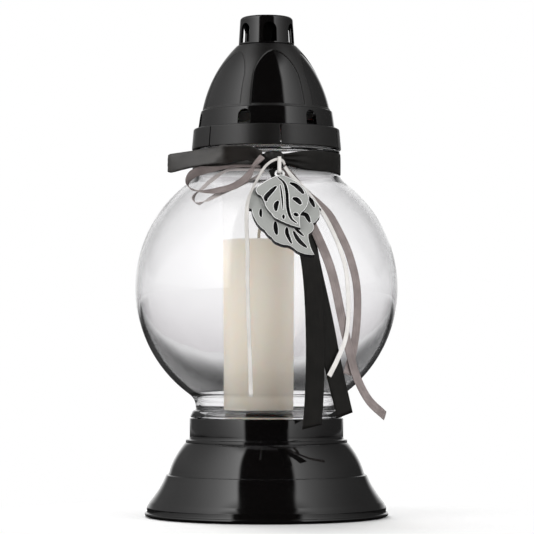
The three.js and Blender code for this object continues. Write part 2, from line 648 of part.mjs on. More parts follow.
// A flat strip along a smooth line. Each control is a point, how far the strip has rolled there in
// quarter turns, and its width as a share of the full width. faceAt gives where its face looks.
function strip(controls, { width, faceAt, steps = 2 }) {
  const line = new THREE.CatmullRomCurve3(controls.map(([x, y, z]) => new THREE.Vector3(x, y, z)), false,
    'centripetal');
  const spans = controls.length - 1;
  const count = spans * steps;
  const positions = [];
  for (let i = 0; i <= count; i += 1) {
    const here = Math.min(Math.floor(i / steps), spans - 1);
    const share = i / steps - here;
    const [from, to] = [controls[here], controls[here + 1]];
    const roll = THREE.MathUtils.lerp(from[3] ?? 0, to[3] ?? 0, share);
    const narrow = THREE.MathUtils.lerp(from[4] ?? 1, to[4] ?? 1, share);
    const point = line.getPoint(i / count);
    const tangent = line.getTangent(i / count);
    const across = faceAt(point, tangent).cross(tangent).normalize()
      .applyAxisAngle(tangent, (roll * Math.PI) / 2);
    const face = new THREE.Vector3().crossVectors(tangent, across);
    for (const [side, front] of [[-1, -1], [1, -1], [1, 1], [-1, 1]]) {
      const corner = point.clone()
        .addScaledVector(across, (side * width * narrow) / 2)
        .addScaledVector(face, (front * RIBBON_THICKNESS) / 2);
      positions.push(...corner.toArray());
    }
  }
  const index = [0, 2, 1, 0, 3, 2];
  for (let i = 0; i < count; i += 1) {
    for (let k = 0; k < 4; k += 1) {
      const [a, b] = [4 * i + k, 4 * i + ((k + 1) % 4)];
      index.push(a, b, b + 4, a, b + 4, a + 4);
    }
  }
  const last = 4 * count;
  index.push(last, last + 1, last + 2, last, last + 2, last + 3);
  const geometry = new THREE.BufferGeometry();
  geometry.setAttribute('position', new THREE.Float32BufferAttribute(positions, 3));
  geometry.setIndex(index);
  return toSolid(geometry);
}

// A control in front of the glass from its place across, its height and its stand-off.
function onGlass([x, z, stand, roll, narrow]) {
  const radius = glassRadiusAt(z, stand);
  return [x, -Math.sqrt(radius * radius - x * x), z, roll, narrow];
}

// The way out of the glass at a point.
function awayFromGlass(point) {
  return new THREE.Vector3(point.x, point.y, Math.max(point.z - globeCentre, 0)).normalize();
}

// Level and outwards, for a strip that hangs in the air.
function frontal(point) {
  return new THREE.Vector3(point.x, point.y, 0).normalize();
}

// The face of a strip that stands upright on its edge.
function upright(point, tangent) {
  return new THREE.Vector3(0, 0, 1).cross(tangent);
}

// The face of a strip whose width keeps one direction all the way.
function alongWidth(direction) {
  return (point, tangent) => new THREE.Vector3().crossVectors(tangent, direction);
}

function makeNeckBand() {
  const inside = NECK_RADIUS + 2 * SEAT_GAP;
  const middle = knotHeight + SEAT_GAP;
  const [low, high] = [middle - BLACK_WIDTH / 2, middle + BLACK_WIDTH / 2];
  return revolve([[inside, low], [inside + RIBBON_THICKNESS, low], [inside + RIBBON_THICKNESS, high],
    [inside, high]]);
}

function makeKnot() {
  const ball = new THREE.SphereGeometry(1, KNOT_SIDES, KNOT_SIDES / 2);
  ball.rotateX(Math.PI / 2);
  ball.scale(...KNOT_RADII);
  ball.translate(KNOT_ACROSS, -KNOT_OUT, knotHeight);
  return toSolid(ball);
}

// Routes. Free controls are [across, depth, height, roll, width share]. Controls over the glass are
// [across, height, stand-off, roll, width share].
const BOW_ROUTE = [[-3.2, -55.6, 236.4, 0, 0.6], [-12, -57.4, 237.2, 0, 0.9], [-27, -55.6, 237.2],
  [-42, -48.6, 236], [-55, -38.4, 234.8], [-62.6, -31.4, 234], [-64.6, -28.4, 233.8],
  [-62.4, -28.2, 233.8], [-54, -34.8, 234.8], [-42, -44.2, 236], [-27, -52, 237],
  [-12, -54.8, 237, 0, 0.9], [-3.2, -53.4, 236.4, 0, 0.6]];
const BLACK_LEFT_START = [4, -55.6, 228, 0, 0.5];
const BLACK_LEFT_ROUTE = [[8, 221, 2.5, 0, 0.7], [15.5, 207, 1.9], [22, 191, 1.9], [26, 178, 2],
  [28.6, 162, 2], [30.2, 142, 2], [31, 110, 2], [30.2, 79, 2], [28.8, 61.8, 2]];
const BLACK_RIGHT_START = [6, -53, 228.2, 0, 0.5];
const BLACK_RIGHT_ROUTE = [[11, 221, 1.4, 0, 0.7], [17, 206, 0.9], [20.4, 197, 0.9], [23.4, 187, 0.9],
  [27, 172, 0.9], [31, 154, 0.9], [35.2, 136, 0.9], [38.4, 121, 0.9], [41, 107.5, 0.9],
  [44.8, 91, 0.9], [50.2, 69, 0.9]];
const TAUPE_LEFT_START = [11.4, -53.4, 230.8, 0, 0.3];
const TAUPE_LEFT_ROUTE = [[16.8, 225.2, 3.4, 0, 0.3], [23, 217, 2.3, 0, 0.3], [28.4, 211, 1.9, 0, 0.5],
  [34, 205.4, 1.8, 0, 0.8], [40.4, 198, 1.8], [46.2, 187.6, 1.8], [51.6, 176, 1.8],
  [54.8, 166.4, 1.8], [57.8, 153, 1.8], [58.4, 134.6, 1.8], [56, 112.8, 1.8], [51.6, 95, 1.8]];
const TAUPE_RIGHT_START = [10.1, -55.1, 228.5, 0, 0.35];
const TAUPE_RIGHT_ROUTE = [[14.2, 221, 3.5, 0, 0.5], [21.6, 208, 3, 0, 0.7], [27.6, 194, 3],
  [33.6, 181, 3.1], [39, 168, 3.1], [43, 155, 3.1], [48.2, 130.5, 3.1], [54, 106.2, 3.1],
  [57.8, 93.4, 3.1], [65.5, 79, 3.1], [77, 68, 3.1]];
const WHITE_RIGHT_START = [11.8, -56.6, 229.4];
const WHITE_RIGHT_ROUTE = [[15.4, 224.6, 5], [21, 218.4, 4.3], [27.6, 210.8, 4], [33.3, 202.6, 4],
  [37.6, 196, 4], [45.2, 180, 4], [50.6, 163, 4], [52, 149, 4], [52.2, 130, 4], [50.2, 117.1, 4.1],
  [45, 104.3, 4.1], [39.8, 94.1, 4.1]];
const WHITE_ARCH_ROUTE = [[11.8, -57.8, 230.8, 0, 0.6], [10.6, -59.4, 232.9, 0, 0.6],
  [8.4, -60.1, 234, 0, 0.6], [5.6, -60.4, 233.7, 0, 0.6], [2.2, -60.9, 231.9, 0, 0.6],
  [-0.4, -61.8, 229.6, 0, 0.6], [-2.8, -63.6, 226.2, 0, 0.6], [-4.8, -66.2, 222.4, 0, 0.6],
  [-6.7, -69.8, 218.6, 0, 0.6], [-8.8, -74.2, 214.2, 0, 0.6], [-10.6, -78.4, 209.8, 0, 0.6],
  [-11.8, -81.8, 205.2, 0, 0.7], [-12.4, -84, 200.4, 0, 0.8], [-12.7, -85.1, 194, 0, 0.8],
  [-12.6, -85.2, 187, 0, 0.9]];
const WHITE_LEFT_ROUTE = [[-12, 175, 1.4], [-12, 160, 0.9], [-11.8, 142, 0.8], [-10.6, 110, 0.8],
  [-9.8, 81.2, 0.8]];
const TAUPE_UPPER_ROUTE = [[-9, 226, 8.2, 0, 0.5], [-13.5, 220.4, 4.6, 0, 0.8], [-21, 215.8, 3.4],
  [-33, 213.2, 4, 0.1], [-42.5, 214, 5.2, 0.5, 0.8], [-49.5, 216.6, 4.6, 1, 0.6],
  [-52.6, 220.6, 5.6, 1, 0.6], [-49.8, 225.6, 7.4, 1, 0.6], [-41, 229, 6.4, 1, 0.6],
  [-30, 230, 6.4, 1, 0.5], [-16, 230, 5.8, 1, 0.5], [-4, 229.8, 5.6, 1, 0.5]];
const TAUPE_LOWER_ROUTE = [[-1.6, 226.6, 5.4, 0, 0.5], [-8, 221, 2.4, 0, 0.8], [-17, 216.4, 1.3],
  [-29, 211.4, 1.3], [-38, 207.6, 1.6, 0.3, 0.8], [-44.4, 206.3, 2.2, 1, 0.5],
  [-47.4, 208.4, 2.2, 1, 0.5], [-46, 211.6, 1.9, 1.4, 0.5], [-42.6, 215, 1.6, 1.9, 0.5],
  [-37, 220.4, 1.6, 2, 0.7], [-31, 225, 2, 2, 0.6], [-24, 226.8, 2.8, 2, 0.4],
  [-13, 227, 3, 2, 0.4], [-3.4, 227.2, 3.4, 2, 0.4]];
const TAUPE_FOLD_ROUTE = [[-9, -60.4, 229.2, 0, 0.4], [-5.8, -60.6, 232.6, 0, 0.7],
  [-3.2, -60.2, 235.2], [-2.6, -59.6, 235.8], [-3.3, -59, 235], [-5.8, -58.6, 232.4, 0, 0.7],
  [-8.2, -58.4, 229.8, 0, 0.4]];
const TAUPE_FOLD_WIDTH = [-0.8, 0, 0.6];

// A ribbon that starts at a free control and then lies over the glass.
function tail(start, route, width, steps) {
  return strip([...start, ...route.map(onGlass)], { width, steps, faceAt: awayFromGlass });
}

function addRibbons() {
  addPiece('neck_band', makeNeckBand(), BLACK_SATIN);
  addPiece('ribbon_knot', makeKnot(), BLACK_SATIN);
  addPiece('bow_loop', strip(BOW_ROUTE, { width: BLACK_WIDTH, steps: 3, faceAt: upright }), BLACK_SATIN);
  addPiece('black_tail_left', tail([BLACK_LEFT_START], BLACK_LEFT_ROUTE, BLACK_WIDTH, 3), BLACK_SATIN);
  addPiece('black_tail_right', tail([BLACK_RIGHT_START], BLACK_RIGHT_ROUTE, BLACK_WIDTH), BLACK_SATIN);
  addPiece('taupe_loop_upper', tail([], TAUPE_UPPER_ROUTE, TAUPE_WIDTH, 3), TAUPE_SATIN);
  addPiece('taupe_loop_lower', tail([], TAUPE_LOWER_ROUTE, TAUPE_WIDTH, 3), TAUPE_SATIN);
  addPiece('taupe_fold', strip(TAUPE_FOLD_ROUTE, { width: TAUPE_WIDTH,
    faceAt: alongWidth(new THREE.Vector3(...TAUPE_FOLD_WIDTH)) }), TAUPE_SATIN);
  addPiece('taupe_tail_left', tail([TAUPE_LEFT_START], TAUPE_LEFT_ROUTE, TAUPE_WIDTH), TAUPE_SATIN);
  addPiece('taupe_tail_right', tail([TAUPE_RIGHT_START], TAUPE_RIGHT_ROUTE, TAUPE_WIDTH), TAUPE_SATIN);
  addPiece('white_arch', strip([...WHITE_ARCH_ROUTE, ...WHITE_LEFT_ROUTE.map(onGlass)],
    { width: WHITE_WIDTH, faceAt: frontal }), WHITE_SATIN);
  addPiece('white_tail_right', tail([WHITE_RIGHT_START], WHITE_RIGHT_ROUTE, WHITE_WIDTH), WHITE_SATIN);
}

// Leaf

// The lobes of each leaf round from the top: where a lobe ends and the point that it leans towards,
// as shares of the leaf's width and length.
const LARGE_LOBE_SHARES = [[0.5, 0.427, 0.344, 0.171], [0.463, 0.411, 0.488, 0.43],
  [0.434, 0.559, 0.51, 0.501], [0.363, 0.609, 0.417, 0.596], [0.284, 0.75, 0.4, 0.698],
  [0.333, 1, 0.271, 0.88], [0.1, 0.948, 0.2, 1.009], [-0.012, 0.883, 0.05, 0.895],
  [-0.121, 0.858, -0.066, 0.886], [-0.208, 0.787, -0.183, 0.843], [-0.289, 0.701, -0.258, 0.763],
  [-0.398, 0.578, -0.371, 0.649], [-0.433, 0.436, -0.437, 0.501], [-0.5, 0.378, -0.496, 0.427],
  [-0.354, 0.162, -0.491, 0.248], [0, 0, -0.19, 0.085]];
const SMALL_LOBE_SHARES = [[0.482, 0.429, 0.436, 0.267], [0.342, 0.691, 0.461, 0.59],
  [0.27, 0.783, 0.285, 0.728], [0.252, 1, 0.248, 0.876], [-0.139, 0.853, 0.042, 0.949],
  [-0.255, 0.742, -0.23, 0.82], [-0.364, 0.576, -0.327, 0.677], [-0.421, 0.41, -0.364, 0.498],
  [-0.509, 0.313, -0.497, 0.382], [-0.448, 0.224, -0.509, 0.258], [0, 0, -0.23, 0.069]];

// The sunk veins of each leaf: both ends, as shares of its width and length.
const LARGE_VEIN_SHARES = [[0.365, 0.299, 0.404, 0.398], [0.196, 0.496, 0.327, 0.606],
  [0.129, 0.704, 0.233, 0.795], [0.088, 0.715, 0.231, 0.915], [0.008, 0.758, 0.056, 0.867],
  [-0.123, 0.593, -0.123, 0.752], [-0.296, 0.41, -0.327, 0.552]];
const SMALL_VEIN_SHARES = [[-0.045, 0.15, -0.333, 0.41], [-0.033, 0.447, -0.167, 0.634],
  [-0.024, 0.781, -0.006, 0.871], [0.094, 0.168, 0.424, 0.373], [0.133, 0.429, 0.324, 0.56],
  [0.091, 0.726, 0.209, 0.8], [0.082, 0.836, 0.188, 0.926]];
const MIDRIB_SHARES = [[-0.061, 0.037], [0.094, 0.41], [0.055, 0.689], [0.17, 0.926]];
const VEIN_EDGE_SHARES = [[-0.04, -0.6], [0.3, -1], [0.7, -0.8], [1, 0], [0.7, 0.8], [0.3, 1],
  [-0.04, 0.6]];

// The outline of a leaf, hanging down from its top.
function leafShape(lobes, width, length, top) {
  let here = [lobes[lobes.length - 1][0] * width, -top - lobes[lobes.length - 1][1] * length];
  const points = [];
  for (const [endX, endY, leanX, leanY] of lobes) {
    const end = [endX * width, -top - endY * length];
    points.push(...bend(here, [leanX * width, -top - leanY * length], end, 3));
    here = end;
  }
  return new THREE.Shape(points.map(([x, y]) => new THREE.Vector2(x, y)));
}

// A pointed slit between two places, the shape of a sunk vein.
function veinShape([ax, ay], [bx, by], width) {
  const [dx, dy] = [bx - ax, by - ay];
  const length = Math.hypot(dx, dy);
  const [nx, ny] = [(-dy / length) * (width / 2), (dx / length) * (width / 2)];
  return new THREE.Shape(VEIN_EDGE_SHARES.map(([along, side]) =>
    new THREE.Vector2(ax + dx * along + nx * side, ay + dy * along + ny * side)));
}

// A flat solid from a shape, from one height over the leaf's middle plane to another.
function slab(shape, low, high) {
  const geometry = new THREE.ExtrudeGeometry(shape, { depth: high - low, bevelEnabled: false });
  geometry.translate(0, 0, low);
  return toSolid(geometry);
}

// How far the middle of the leaf's eye hangs below the bar that the loop holds.
const eyeDrop = (EYE_BORE + EYE_BAR) / 2;

function makeLeaf() {
  const half = LEAF_THICKNESS / 2;
  const smallTop = half + SMALL_LEAF_RAISE;
  const ringOut = EYE_BORE / 2 + EYE_BAR;
  const leafTop = eyeDrop + ringOut - EYE_LAP;
  const length = LEAF_LENGTH - leafTop;
  const smallDrop = leafTop + SMALL_LEAF_DROP - EYE_LAP;
  const large = slab(leafShape(LARGE_LOBE_SHARES, LEAF_WIDTH, length, leafTop), -half, half);
  const small = slab(leafShape(SMALL_LOBE_SHARES, SMALL_LEAF_WIDTH, SMALL_LEAF_LENGTH, smallDrop),
    0, smallTop);
  const vein = (shares, width, leafLength, top) => shares.map(([ax, ay, bx, by]) =>
    veinShape([ax * width, -top - ay * leafLength], [bx * width, -top - by * leafLength], VEIN_WIDTH));
  const smallVeins = vein(SMALL_VEIN_SHARES, SMALL_LEAF_WIDTH, SMALL_LEAF_LENGTH, smallDrop)
    .map((shape) => slab(shape, smallTop - VEIN_DEPTH, smallTop + OVERRUN));
  const largeVeins = vein(LARGE_VEIN_SHARES, LEAF_WIDTH, length, leafTop)
    .map((shape) => slab(shape, half - VEIN_DEPTH, half + OVERRUN));
  const midrib = MIDRIB_SHARES.slice(1).map(([x, y], i) => {
    const [fromX, fromY] = MIDRIB_SHARES[i];
    return slab(veinShape([fromX * SMALL_LEAF_WIDTH, -smallDrop - fromY * SMALL_LEAF_LENGTH],
      [x * SMALL_LEAF_WIDTH, -smallDrop - y * SMALL_LEAF_LENGTH], MIDRIB_WIDTH),
      smallTop - VEIN_DEPTH, smallTop + OVERRUN);
  });
  const ring = new THREE.Shape().absarc(0, -eyeDrop, ringOut, 0, 2 * Math.PI);
  ring.holes.push(new THREE.Path().absarc(0, -eyeDrop, EYE_BORE / 2, 0, 2 * Math.PI, true));
  const eye = new THREE.ExtrudeGeometry(ring, { depth: EYE_BAR, bevelEnabled: false, curveSegments: 9 });
  eye.translate(0, 0, -EYE_BAR / 2);
  return join([cut(large, largeVeins), cut(small, [...smallVeins, ...midrib]), toSolid(eye)]);
}

// A closed band of ribbon from the middle line of its loop, drawn in depth and height.
function loopStrip(line) {
  const offset = (side) => line.map(([, y, z], i) => {
    const [, ay, az] = line[(i + line.length - 1) % line.length];
    const [, by, bz] = line[(i + 1) % line.length];
    const along = new THREE.Vector2(by - ay, bz - az).normalize();
    return new THREE.Vector2(y - along.y * side, z + along.x * side);
  });
  const shape = new THREE.Shape(offset(RIBBON_THICKNESS / 2));
  shape.holes.push(new THREE.Path(offset(-RIBBON_THICKNESS / 2).toReversed()));
  const geometry = new THREE.ExtrudeGeometry(shape, { depth: LOOP_WIDTH, bevelEnabled: false });
  geometry.translate(0, 0, -LOOP_WIDTH / 2);
  geometry.applyMatrix4(new THREE.Matrix4().makeBasis(new THREE.Vector3(0, 1, 0),
    new THREE.Vector3(0, 0, 1), new THREE.Vector3(1, 0, 0)));
  return toSolid(geometry);
}

// How far the leaf leans out of the vertical when it rests on the globe's shoulder.
function leafLean() {
  const rise = eyeHeight - globeCentre;
  const reach = Math.hypot(EYE_RADIUS_OUT, rise);
  const touch = GLOBE_RADIUS + LEAF_STAND_OFF + LEAF_THICKNESS / 2;
  return Math.asin(touch / reach) - Math.atan2(EYE_RADIUS_OUT, rise);
}

// The ribbon loop that holds the leaf, drawn from the front strand down and round to the back.
function makePendantLoop() {
  const turn = EYE_BAR / Math.SQRT2 + SEAT_GAP + RIBBON_THICKNESS;
  const head = Array.from({ length: LOOP_HEAD_STEPS + 1 }, (_, i) => {
    const angle = (Math.PI * i) / LOOP_HEAD_STEPS;
    return [0, -LOOP_DEPTH / 2 * Math.cos(angle), LOOP_RISE + (LOOP_DEPTH / 2) * Math.sin(angle)];
  });
  const foot = Array.from({ length: LOOP_FOOT_STEPS + 1 }, (_, i) => {
    const angle = -(Math.PI * i) / LOOP_FOOT_STEPS;
    return [0, turn * Math.cos(angle), turn * Math.sin(angle)];
  });
  const middle = LOOP_RISE / 2;
  const line = [...head, [0, LOOP_DEPTH / 2, middle], ...foot, [0, -LOOP_DEPTH / 2, middle]];
  return loopStrip(line);
}

function addPendant() {
  const bearing = new THREE.Group();
  bearing.rotation.z = LEAF_BEARING;
  const eye = new THREE.Group();
  eye.position.set(0, -EYE_RADIUS_OUT, eyeHeight);
  const leaf = new THREE.Group();
  leaf.rotation.x = Math.PI / 2 - leafLean();
  addPiece('leaf_pendant', makeLeaf(), CHROME, leaf);
  addPiece('pendant_loop', makePendantLoop(), WHITE_SATIN, eye);
  eye.add(leaf);
  bearing.add(eye);
  lamp.add(bearing);
}

// Assembly

addPiece('base_shell', makeBaseShell(), GLOSS_BLACK);
addPiece('glass_globe', makeGlassGlobe(), CLEAR_GLASS);
addPiece('cap_shell', makeCapShell(), SATIN_BLACK);
addPiece('chimney', makeChimney(), GLOSS_BLACK);
addPiece('heat_shield', makeHeatShield(), TINPLATE);

const insert = new THREE.Group();
insert.position.x = INSERT_OFFSET;
lamp.add(insert);
addPiece('insert_cup', makeInsertCup(), FROSTED_CUP, insert);
addPiece('candle_wax', makeWax(), PALE_WAX, insert);
addPiece('wick_sustainer', makeSustainer(), TINPLATE, insert);
addPiece('candle_wick', makeWick(), COTTON, insert);

addRibbons();
addPendant();

export default lamp;
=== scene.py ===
"""Dress the glass candle lamp for the camera.

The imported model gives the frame. Sizes are written in millimetres and every finished mesh is in
metres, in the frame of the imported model, so each piece stands where its solid stands.
"""

from __future__ import annotations

import logging
import math
from collections.abc import Callable, Iterable, Sequence
from dataclasses import dataclass, field
from enum import Enum

import bmesh
import bpy
from mathutils import Matrix, Vector, noise

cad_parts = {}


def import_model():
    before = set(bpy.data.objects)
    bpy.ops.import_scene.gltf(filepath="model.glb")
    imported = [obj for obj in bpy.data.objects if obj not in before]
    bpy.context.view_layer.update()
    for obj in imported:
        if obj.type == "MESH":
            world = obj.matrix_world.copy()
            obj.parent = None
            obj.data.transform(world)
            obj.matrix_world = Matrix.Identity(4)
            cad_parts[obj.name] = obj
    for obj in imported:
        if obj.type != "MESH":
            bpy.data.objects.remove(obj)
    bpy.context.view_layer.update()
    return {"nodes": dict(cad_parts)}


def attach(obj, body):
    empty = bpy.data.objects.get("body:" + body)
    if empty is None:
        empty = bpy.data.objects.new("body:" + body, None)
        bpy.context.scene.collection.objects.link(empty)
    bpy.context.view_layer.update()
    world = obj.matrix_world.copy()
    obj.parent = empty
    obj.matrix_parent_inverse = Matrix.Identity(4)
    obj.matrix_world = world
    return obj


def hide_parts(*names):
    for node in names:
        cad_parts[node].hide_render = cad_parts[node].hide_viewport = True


log = logging.getLogger("lamp")

MM = 0.001
TURN_STEPS = 192
Outline = Sequence[tuple[float, float]]


class Body(Enum):
    """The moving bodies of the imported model."""

    LAMP = "lamp"
    CAP = "cap"
    INSERT = "insert"
    LOOP = "loop"
    LEAF = "leaf"


# Shader maths


class Wire:
    """One output socket, on which Python's arithmetic adds Math nodes."""

    def __init__(self, bench: "Bench", socket: bpy.types.NodeSocket) -> None:
        """Keep the bench and the socket."""
        self.bench = bench
        self.socket = socket

    def maths(self, operation: str, *values: "Wire | float") -> "Wire":
        """Add a Math node.

        Args:
            operation: The node's operation.
            values: What feeds its inputs, in order.

        Returns:
            The node's result.
        """
        return self.bench.add(
            "ShaderNodeMath", {"operation": operation}, dict(enumerate(values))
        )

    def __add__(self, other: "Wire | float") -> "Wire":
        """Add."""
        return self.maths("ADD", self, other)

    def __radd__(self, other: float) -> "Wire":
        """Add, reflected."""
        return self.maths("ADD", other, self)

    def __sub__(self, other: "Wire | float") -> "Wire":
        """Subtract."""
        return self.maths("SUBTRACT", self, other)

    def __rsub__(self, other: float) -> "Wire":
        """Subtract, reflected."""
        return self.maths("SUBTRACT", other, self)

    def __mul__(self, other: "Wire | float") -> "Wire":
        """Multiply."""
        return self.maths("MULTIPLY", self, other)

    def __rmul__(self, other: float) -> "Wire":
        """Multiply, reflected."""
        return self.maths("MULTIPLY", other, self)

    def __truediv__(self, other: "Wire | float") -> "Wire":
        """Divide."""
        return self.maths("DIVIDE", self, other)

    def __pow__(self, other: float) -> "Wire":
        """Raise to a power."""
        return self.maths("POWER", self, other)

    def step(self, low: float, high: float) -> "Wire":
        """Go smoothly from 0 at low to 1 at high."""
        return self.bench.add(
            "ShaderNodeMapRange",
            {"interpolation_type": "SMOOTHSTEP"},
            {"Value": self, "From Min": low, "From Max": high},
        )

    def wave(self) -> "Wire":
        """Take the sine, from 0 to 1."""
        return self.maths("SINE", self) * 0.5 + 0.5


Feed = Wire | float | tuple[float, ...]


class Bench:
    """The node tree of one material or world."""

    def __init__(self, tree: bpy.types.NodeTree) -> None:
        """Clear the tree."""
        self.tree = tree
        tree.nodes.clear()

    def add(
        self,
        kind: str,
        settings: dict[str, object] | None = None,
        feeds: dict[str | int, Feed] | None = None,
        output: str | int = 0,
    ) -> Wire:
        """Add any node.

        Args:
            kind: The node's type.
            settings: Its own settings, set first. The stops of a ramp are (place, colour) pairs.
            feeds: Values or wires, by the name or number of the input.
            output: The output that is handed back.

        Returns:
            The chosen output.
        """
        node = self.tree.nodes.new(kind)
        for name, value in (settings or {}).items():
            if name == "stops":
                self._set_stops(node.color_ramp, value)
            else:
                setattr(node, name, value)
        for key, value in (feeds or {}).items():
            socket = node.inputs[key]
            if isinstance(value, Wire):
                self.tree.links.new(value.socket, socket)
            elif isinstance(value, tuple) and len(value) == 3 and len(socket.default_value) == 4:
                socket.default_value = (*value, 1.0)
            else:
                socket.default_value = value
        outputs = node.outputs
        return Wire(self, outputs[output]) if len(outputs) else Wire(self, None)

    @staticmethod
    def _set_stops(ramp: bpy.types.ColorRamp, stops: object) -> None:
        """Give a ramp its stops."""
        while len(ramp.elements) < len(stops):
            ramp.elements.new(0.5)
        for element, (place, colour) in zip(ramp.elements, stops):
            element.position = place
            element.color = (*colour, 1.0)

    def place(self, source: str = "Object") -> Wire:
        """Give the coordinates of the surface."""
        return self.add("ShaderNodeTexCoord", output=source)

    def noise(self, scale: float, detail: float = 2.0, at: Wire | None = None) -> Wire:
        """Give smooth noise, in repeats to the metre."""
        return self.add(
            "ShaderNodeTexNoise",
            feeds={"Vector": at or self.place(), "Scale": scale, "Detail": detail},
        )

    def stretched(self, scale: tuple[float, float, float], source: str = "Object") -> Wire:
        """Give coordinates that are scaled along each axis."""
        return self.add("ShaderNodeMapping", feeds={"Vector": self.place(source), "Scale": scale})

    def blend(self, share: Feed, first: Feed, second: Feed) -> Wire:
        """Mix two colours."""
        return self.add(
            "ShaderNodeMix", {"data_type": "RGBA"}, {0: share, 6: first, 7: second}, output=2
        )

    def bump(self, height: Wire, depth: float, strength: float = 1.0) -> Wire:
        """Raise the surface by a height."""
        return self.add(
            "ShaderNodeBump", feeds={"Height": height, "Distance": depth, "Strength": strength}
        )

    def surface(self, **feeds: Feed) -> Wire:
        """Add the Principled shader, with its inputs written with low lines for spaces."""
        named = {key.replace("_", " "): value for key, value in feeds.items()}
        return self.add("ShaderNodeBsdfPrincipled", feeds=named)

    def finish(self, shader: Wire, kind: str = "ShaderNodeOutputMaterial") -> None:
        """Send a shader to the output."""
        self.add(kind, feeds={"Surface": shader})


# Finishes


@dataclass(frozen=True)
class Finish:
    """A finish that pieces can wear."""

    name: str

    def shade(self, bench: Bench) -> Wire:
        """Build the shader."""
        raise NotImplementedError

    def material(self) -> bpy.types.Material:
        """Give the material of this finish, made once."""
        made = bpy.data.materials.get(self.name)
        if made is None:
            made = bpy.data.materials.new(self.name)
            made.use_nodes = True
            bench = Bench(made.node_tree)
            bench.finish(self.shade(bench))
        return made


@dataclass(frozen=True)
class MouldedPlastic(Finish):
    """Injection moulded plastic, bright or satin."""

    colour: tuple[float, float, float] = (0.0024, 0.0021, 0.0021)
    roughness: float = 0.07
    grain: float = 0.0
    ripple: float = 0.5

    def shade(self, bench: Bench) -> Wire:
        """Build the shader."""
        smear = bench.noise(55, 3).step(0.42, 0.75)
        dust = bench.noise(2600, 1).step(0.70, 0.78)
        rough = self.roughness + 0.035 * smear + 0.22 * dust
        flow = bench.noise(38, 1)
        height = bench.bump(flow, 0.0012, self.ripple * 0.35)
        if self.grain:
            speckle = bench.noise(3400, 2)
            height = bench.add(
                "ShaderNodeBump",
                feeds={
                    "Height": speckle,
                    "Distance": 0.00006,
                    "Strength": self.grain,
                    "Normal": height,
                },
            )
            rough = rough + 0.12 * bench.noise(900, 2)
        tint = bench.blend(dust * 0.12, self.colour, (0.10, 0.095, 0.09))
        return bench.surface(
            Base_Color=tint, Roughness=rough, Specular_IOR_Level=0.5, IOR=1.5, Normal=height
        )


@dataclass(frozen=True)
class BlownGlass(Finish):
    """Clear glass with a faint ripple. Light falls through it onto what stands inside."""

    tint: tuple[float, float, float] = (0.985, 0.98, 0.985)
    ripple: float = 0.18
    depth: float = 46.0

    def shade(self, bench: Bench) -> Wire:
        """Build the shader."""
        wobble = bench.noise(26, 1)
        seed = bench.noise(900, 1).step(0.80, 0.84)
        relief = bench.bump(wobble, 0.0016, self.ripple)
        relief = bench.add(
            "ShaderNodeBump",
            feeds={"Height": seed, "Distance": 0.0001, "Strength": 0.5, "Normal": relief},
        )
        glass = bench.surface(
            Base_Color=self.tint,
            Roughness=0.0,
            IOR=1.49,
            Transmission_Weight=1.0,
            Normal=relief,
        )
        clear = bench.add("ShaderNodeBsdfTransparent", feeds={"Color": (1.0, 0.995, 0.985)})
        shadow = bench.add("ShaderNodeLightPath", output="Is Shadow Ray")
        return bench.add("ShaderNodeMixShader", feeds={0: shadow, 1: glass, 2: clear})

    def material(self) -> bpy.types.Material:
        """Give the material, with the glass's own faint grey inside."""
        made = bpy.data.materials.get(self.name)
        if made is None:
            made = super().material()
            bench = made.node_tree
            inside = bench.nodes.new("ShaderNodeVolumeAbsorption")
            inside.inputs["Color"].default_value = (0.42, 0.43, 0.44, 1.0)
            inside.inputs["Density"].default_value = self.depth
            end = next(node for node in bench.nodes if node.type == "OUTPUT_MATERIAL")
            bench.links.new(inside.outputs[0], end.inputs["Volume"])
        return made


@dataclass(frozen=True)
class CupPlastic(Finish):
    """Thin milky plastic of the candle's cup."""

    colour: tuple[float, float, float] = (0.86, 0.85, 0.82)

    def shade(self, bench: Bench) -> Wire:
        """Build the shader."""
        draw = bench.noise(1, 3, bench.stretched((420, 420, 9)))
        return bench.surface(
            Base_Color=bench.blend(draw, self.colour, (0.92, 0.91, 0.895)),
            Roughness=0.22 + 0.16 * draw,
            IOR=1.46,
            Specular_IOR_Level=0.5,
            Alpha=0.02 + 0.025 * draw,
            Normal=bench.bump(draw, 0.0002, 0.3),
        )


@dataclass(frozen=True)
class PalmWax(Finish):
    """Pale poured wax, darker in broad upright streaks."""

    colour: tuple[float, float, float] = (0.995, 0.85, 0.71)

    def shade(self, bench: Bench) -> Wire:
        """Build the shader."""
        cloud = bench.noise(34, 4)
        grain = bench.noise(700, 3)
        dark_upright_streaks = bench.noise(1, 2, bench.stretched((60, 60, 7))).step(0.45, 0.75)
        warm = bench.blend(cloud, self.colour, (1.0, 0.91, 0.81))
        return bench.surface(
            Base_Color=bench.blend(0.35 * dark_upright_streaks, warm, (0.94, 0.78, 0.64)),
            Roughness=0.42 + 0.18 * grain,
            Subsurface_Weight=0.6,
            Subsurface_Radius=(0.011, 0.008, 0.006),
            Subsurface_Scale=1.0,
            Normal=bench.bump(grain + 2 * cloud, 0.00025, 0.35),
        )


@dataclass(frozen=True)
class Tinplate(Finish):
    """Bright rolled tin."""

    def shade(self, bench: Bench) -> Wire:
        """Build the shader."""
        rolled = bench.noise(1, 2, bench.stretched((2600, 90, 90)))
        return bench.surface(
            Base_Color=bench.blend(rolled, (0.48, 0.48, 0.49), (0.60, 0.60, 0.60)),
            Metallic=1.0,
            Roughness=0.24 + 0.14 * rolled,
            Normal=bench.bump(rolled, 0.00004, 0.5),
        )


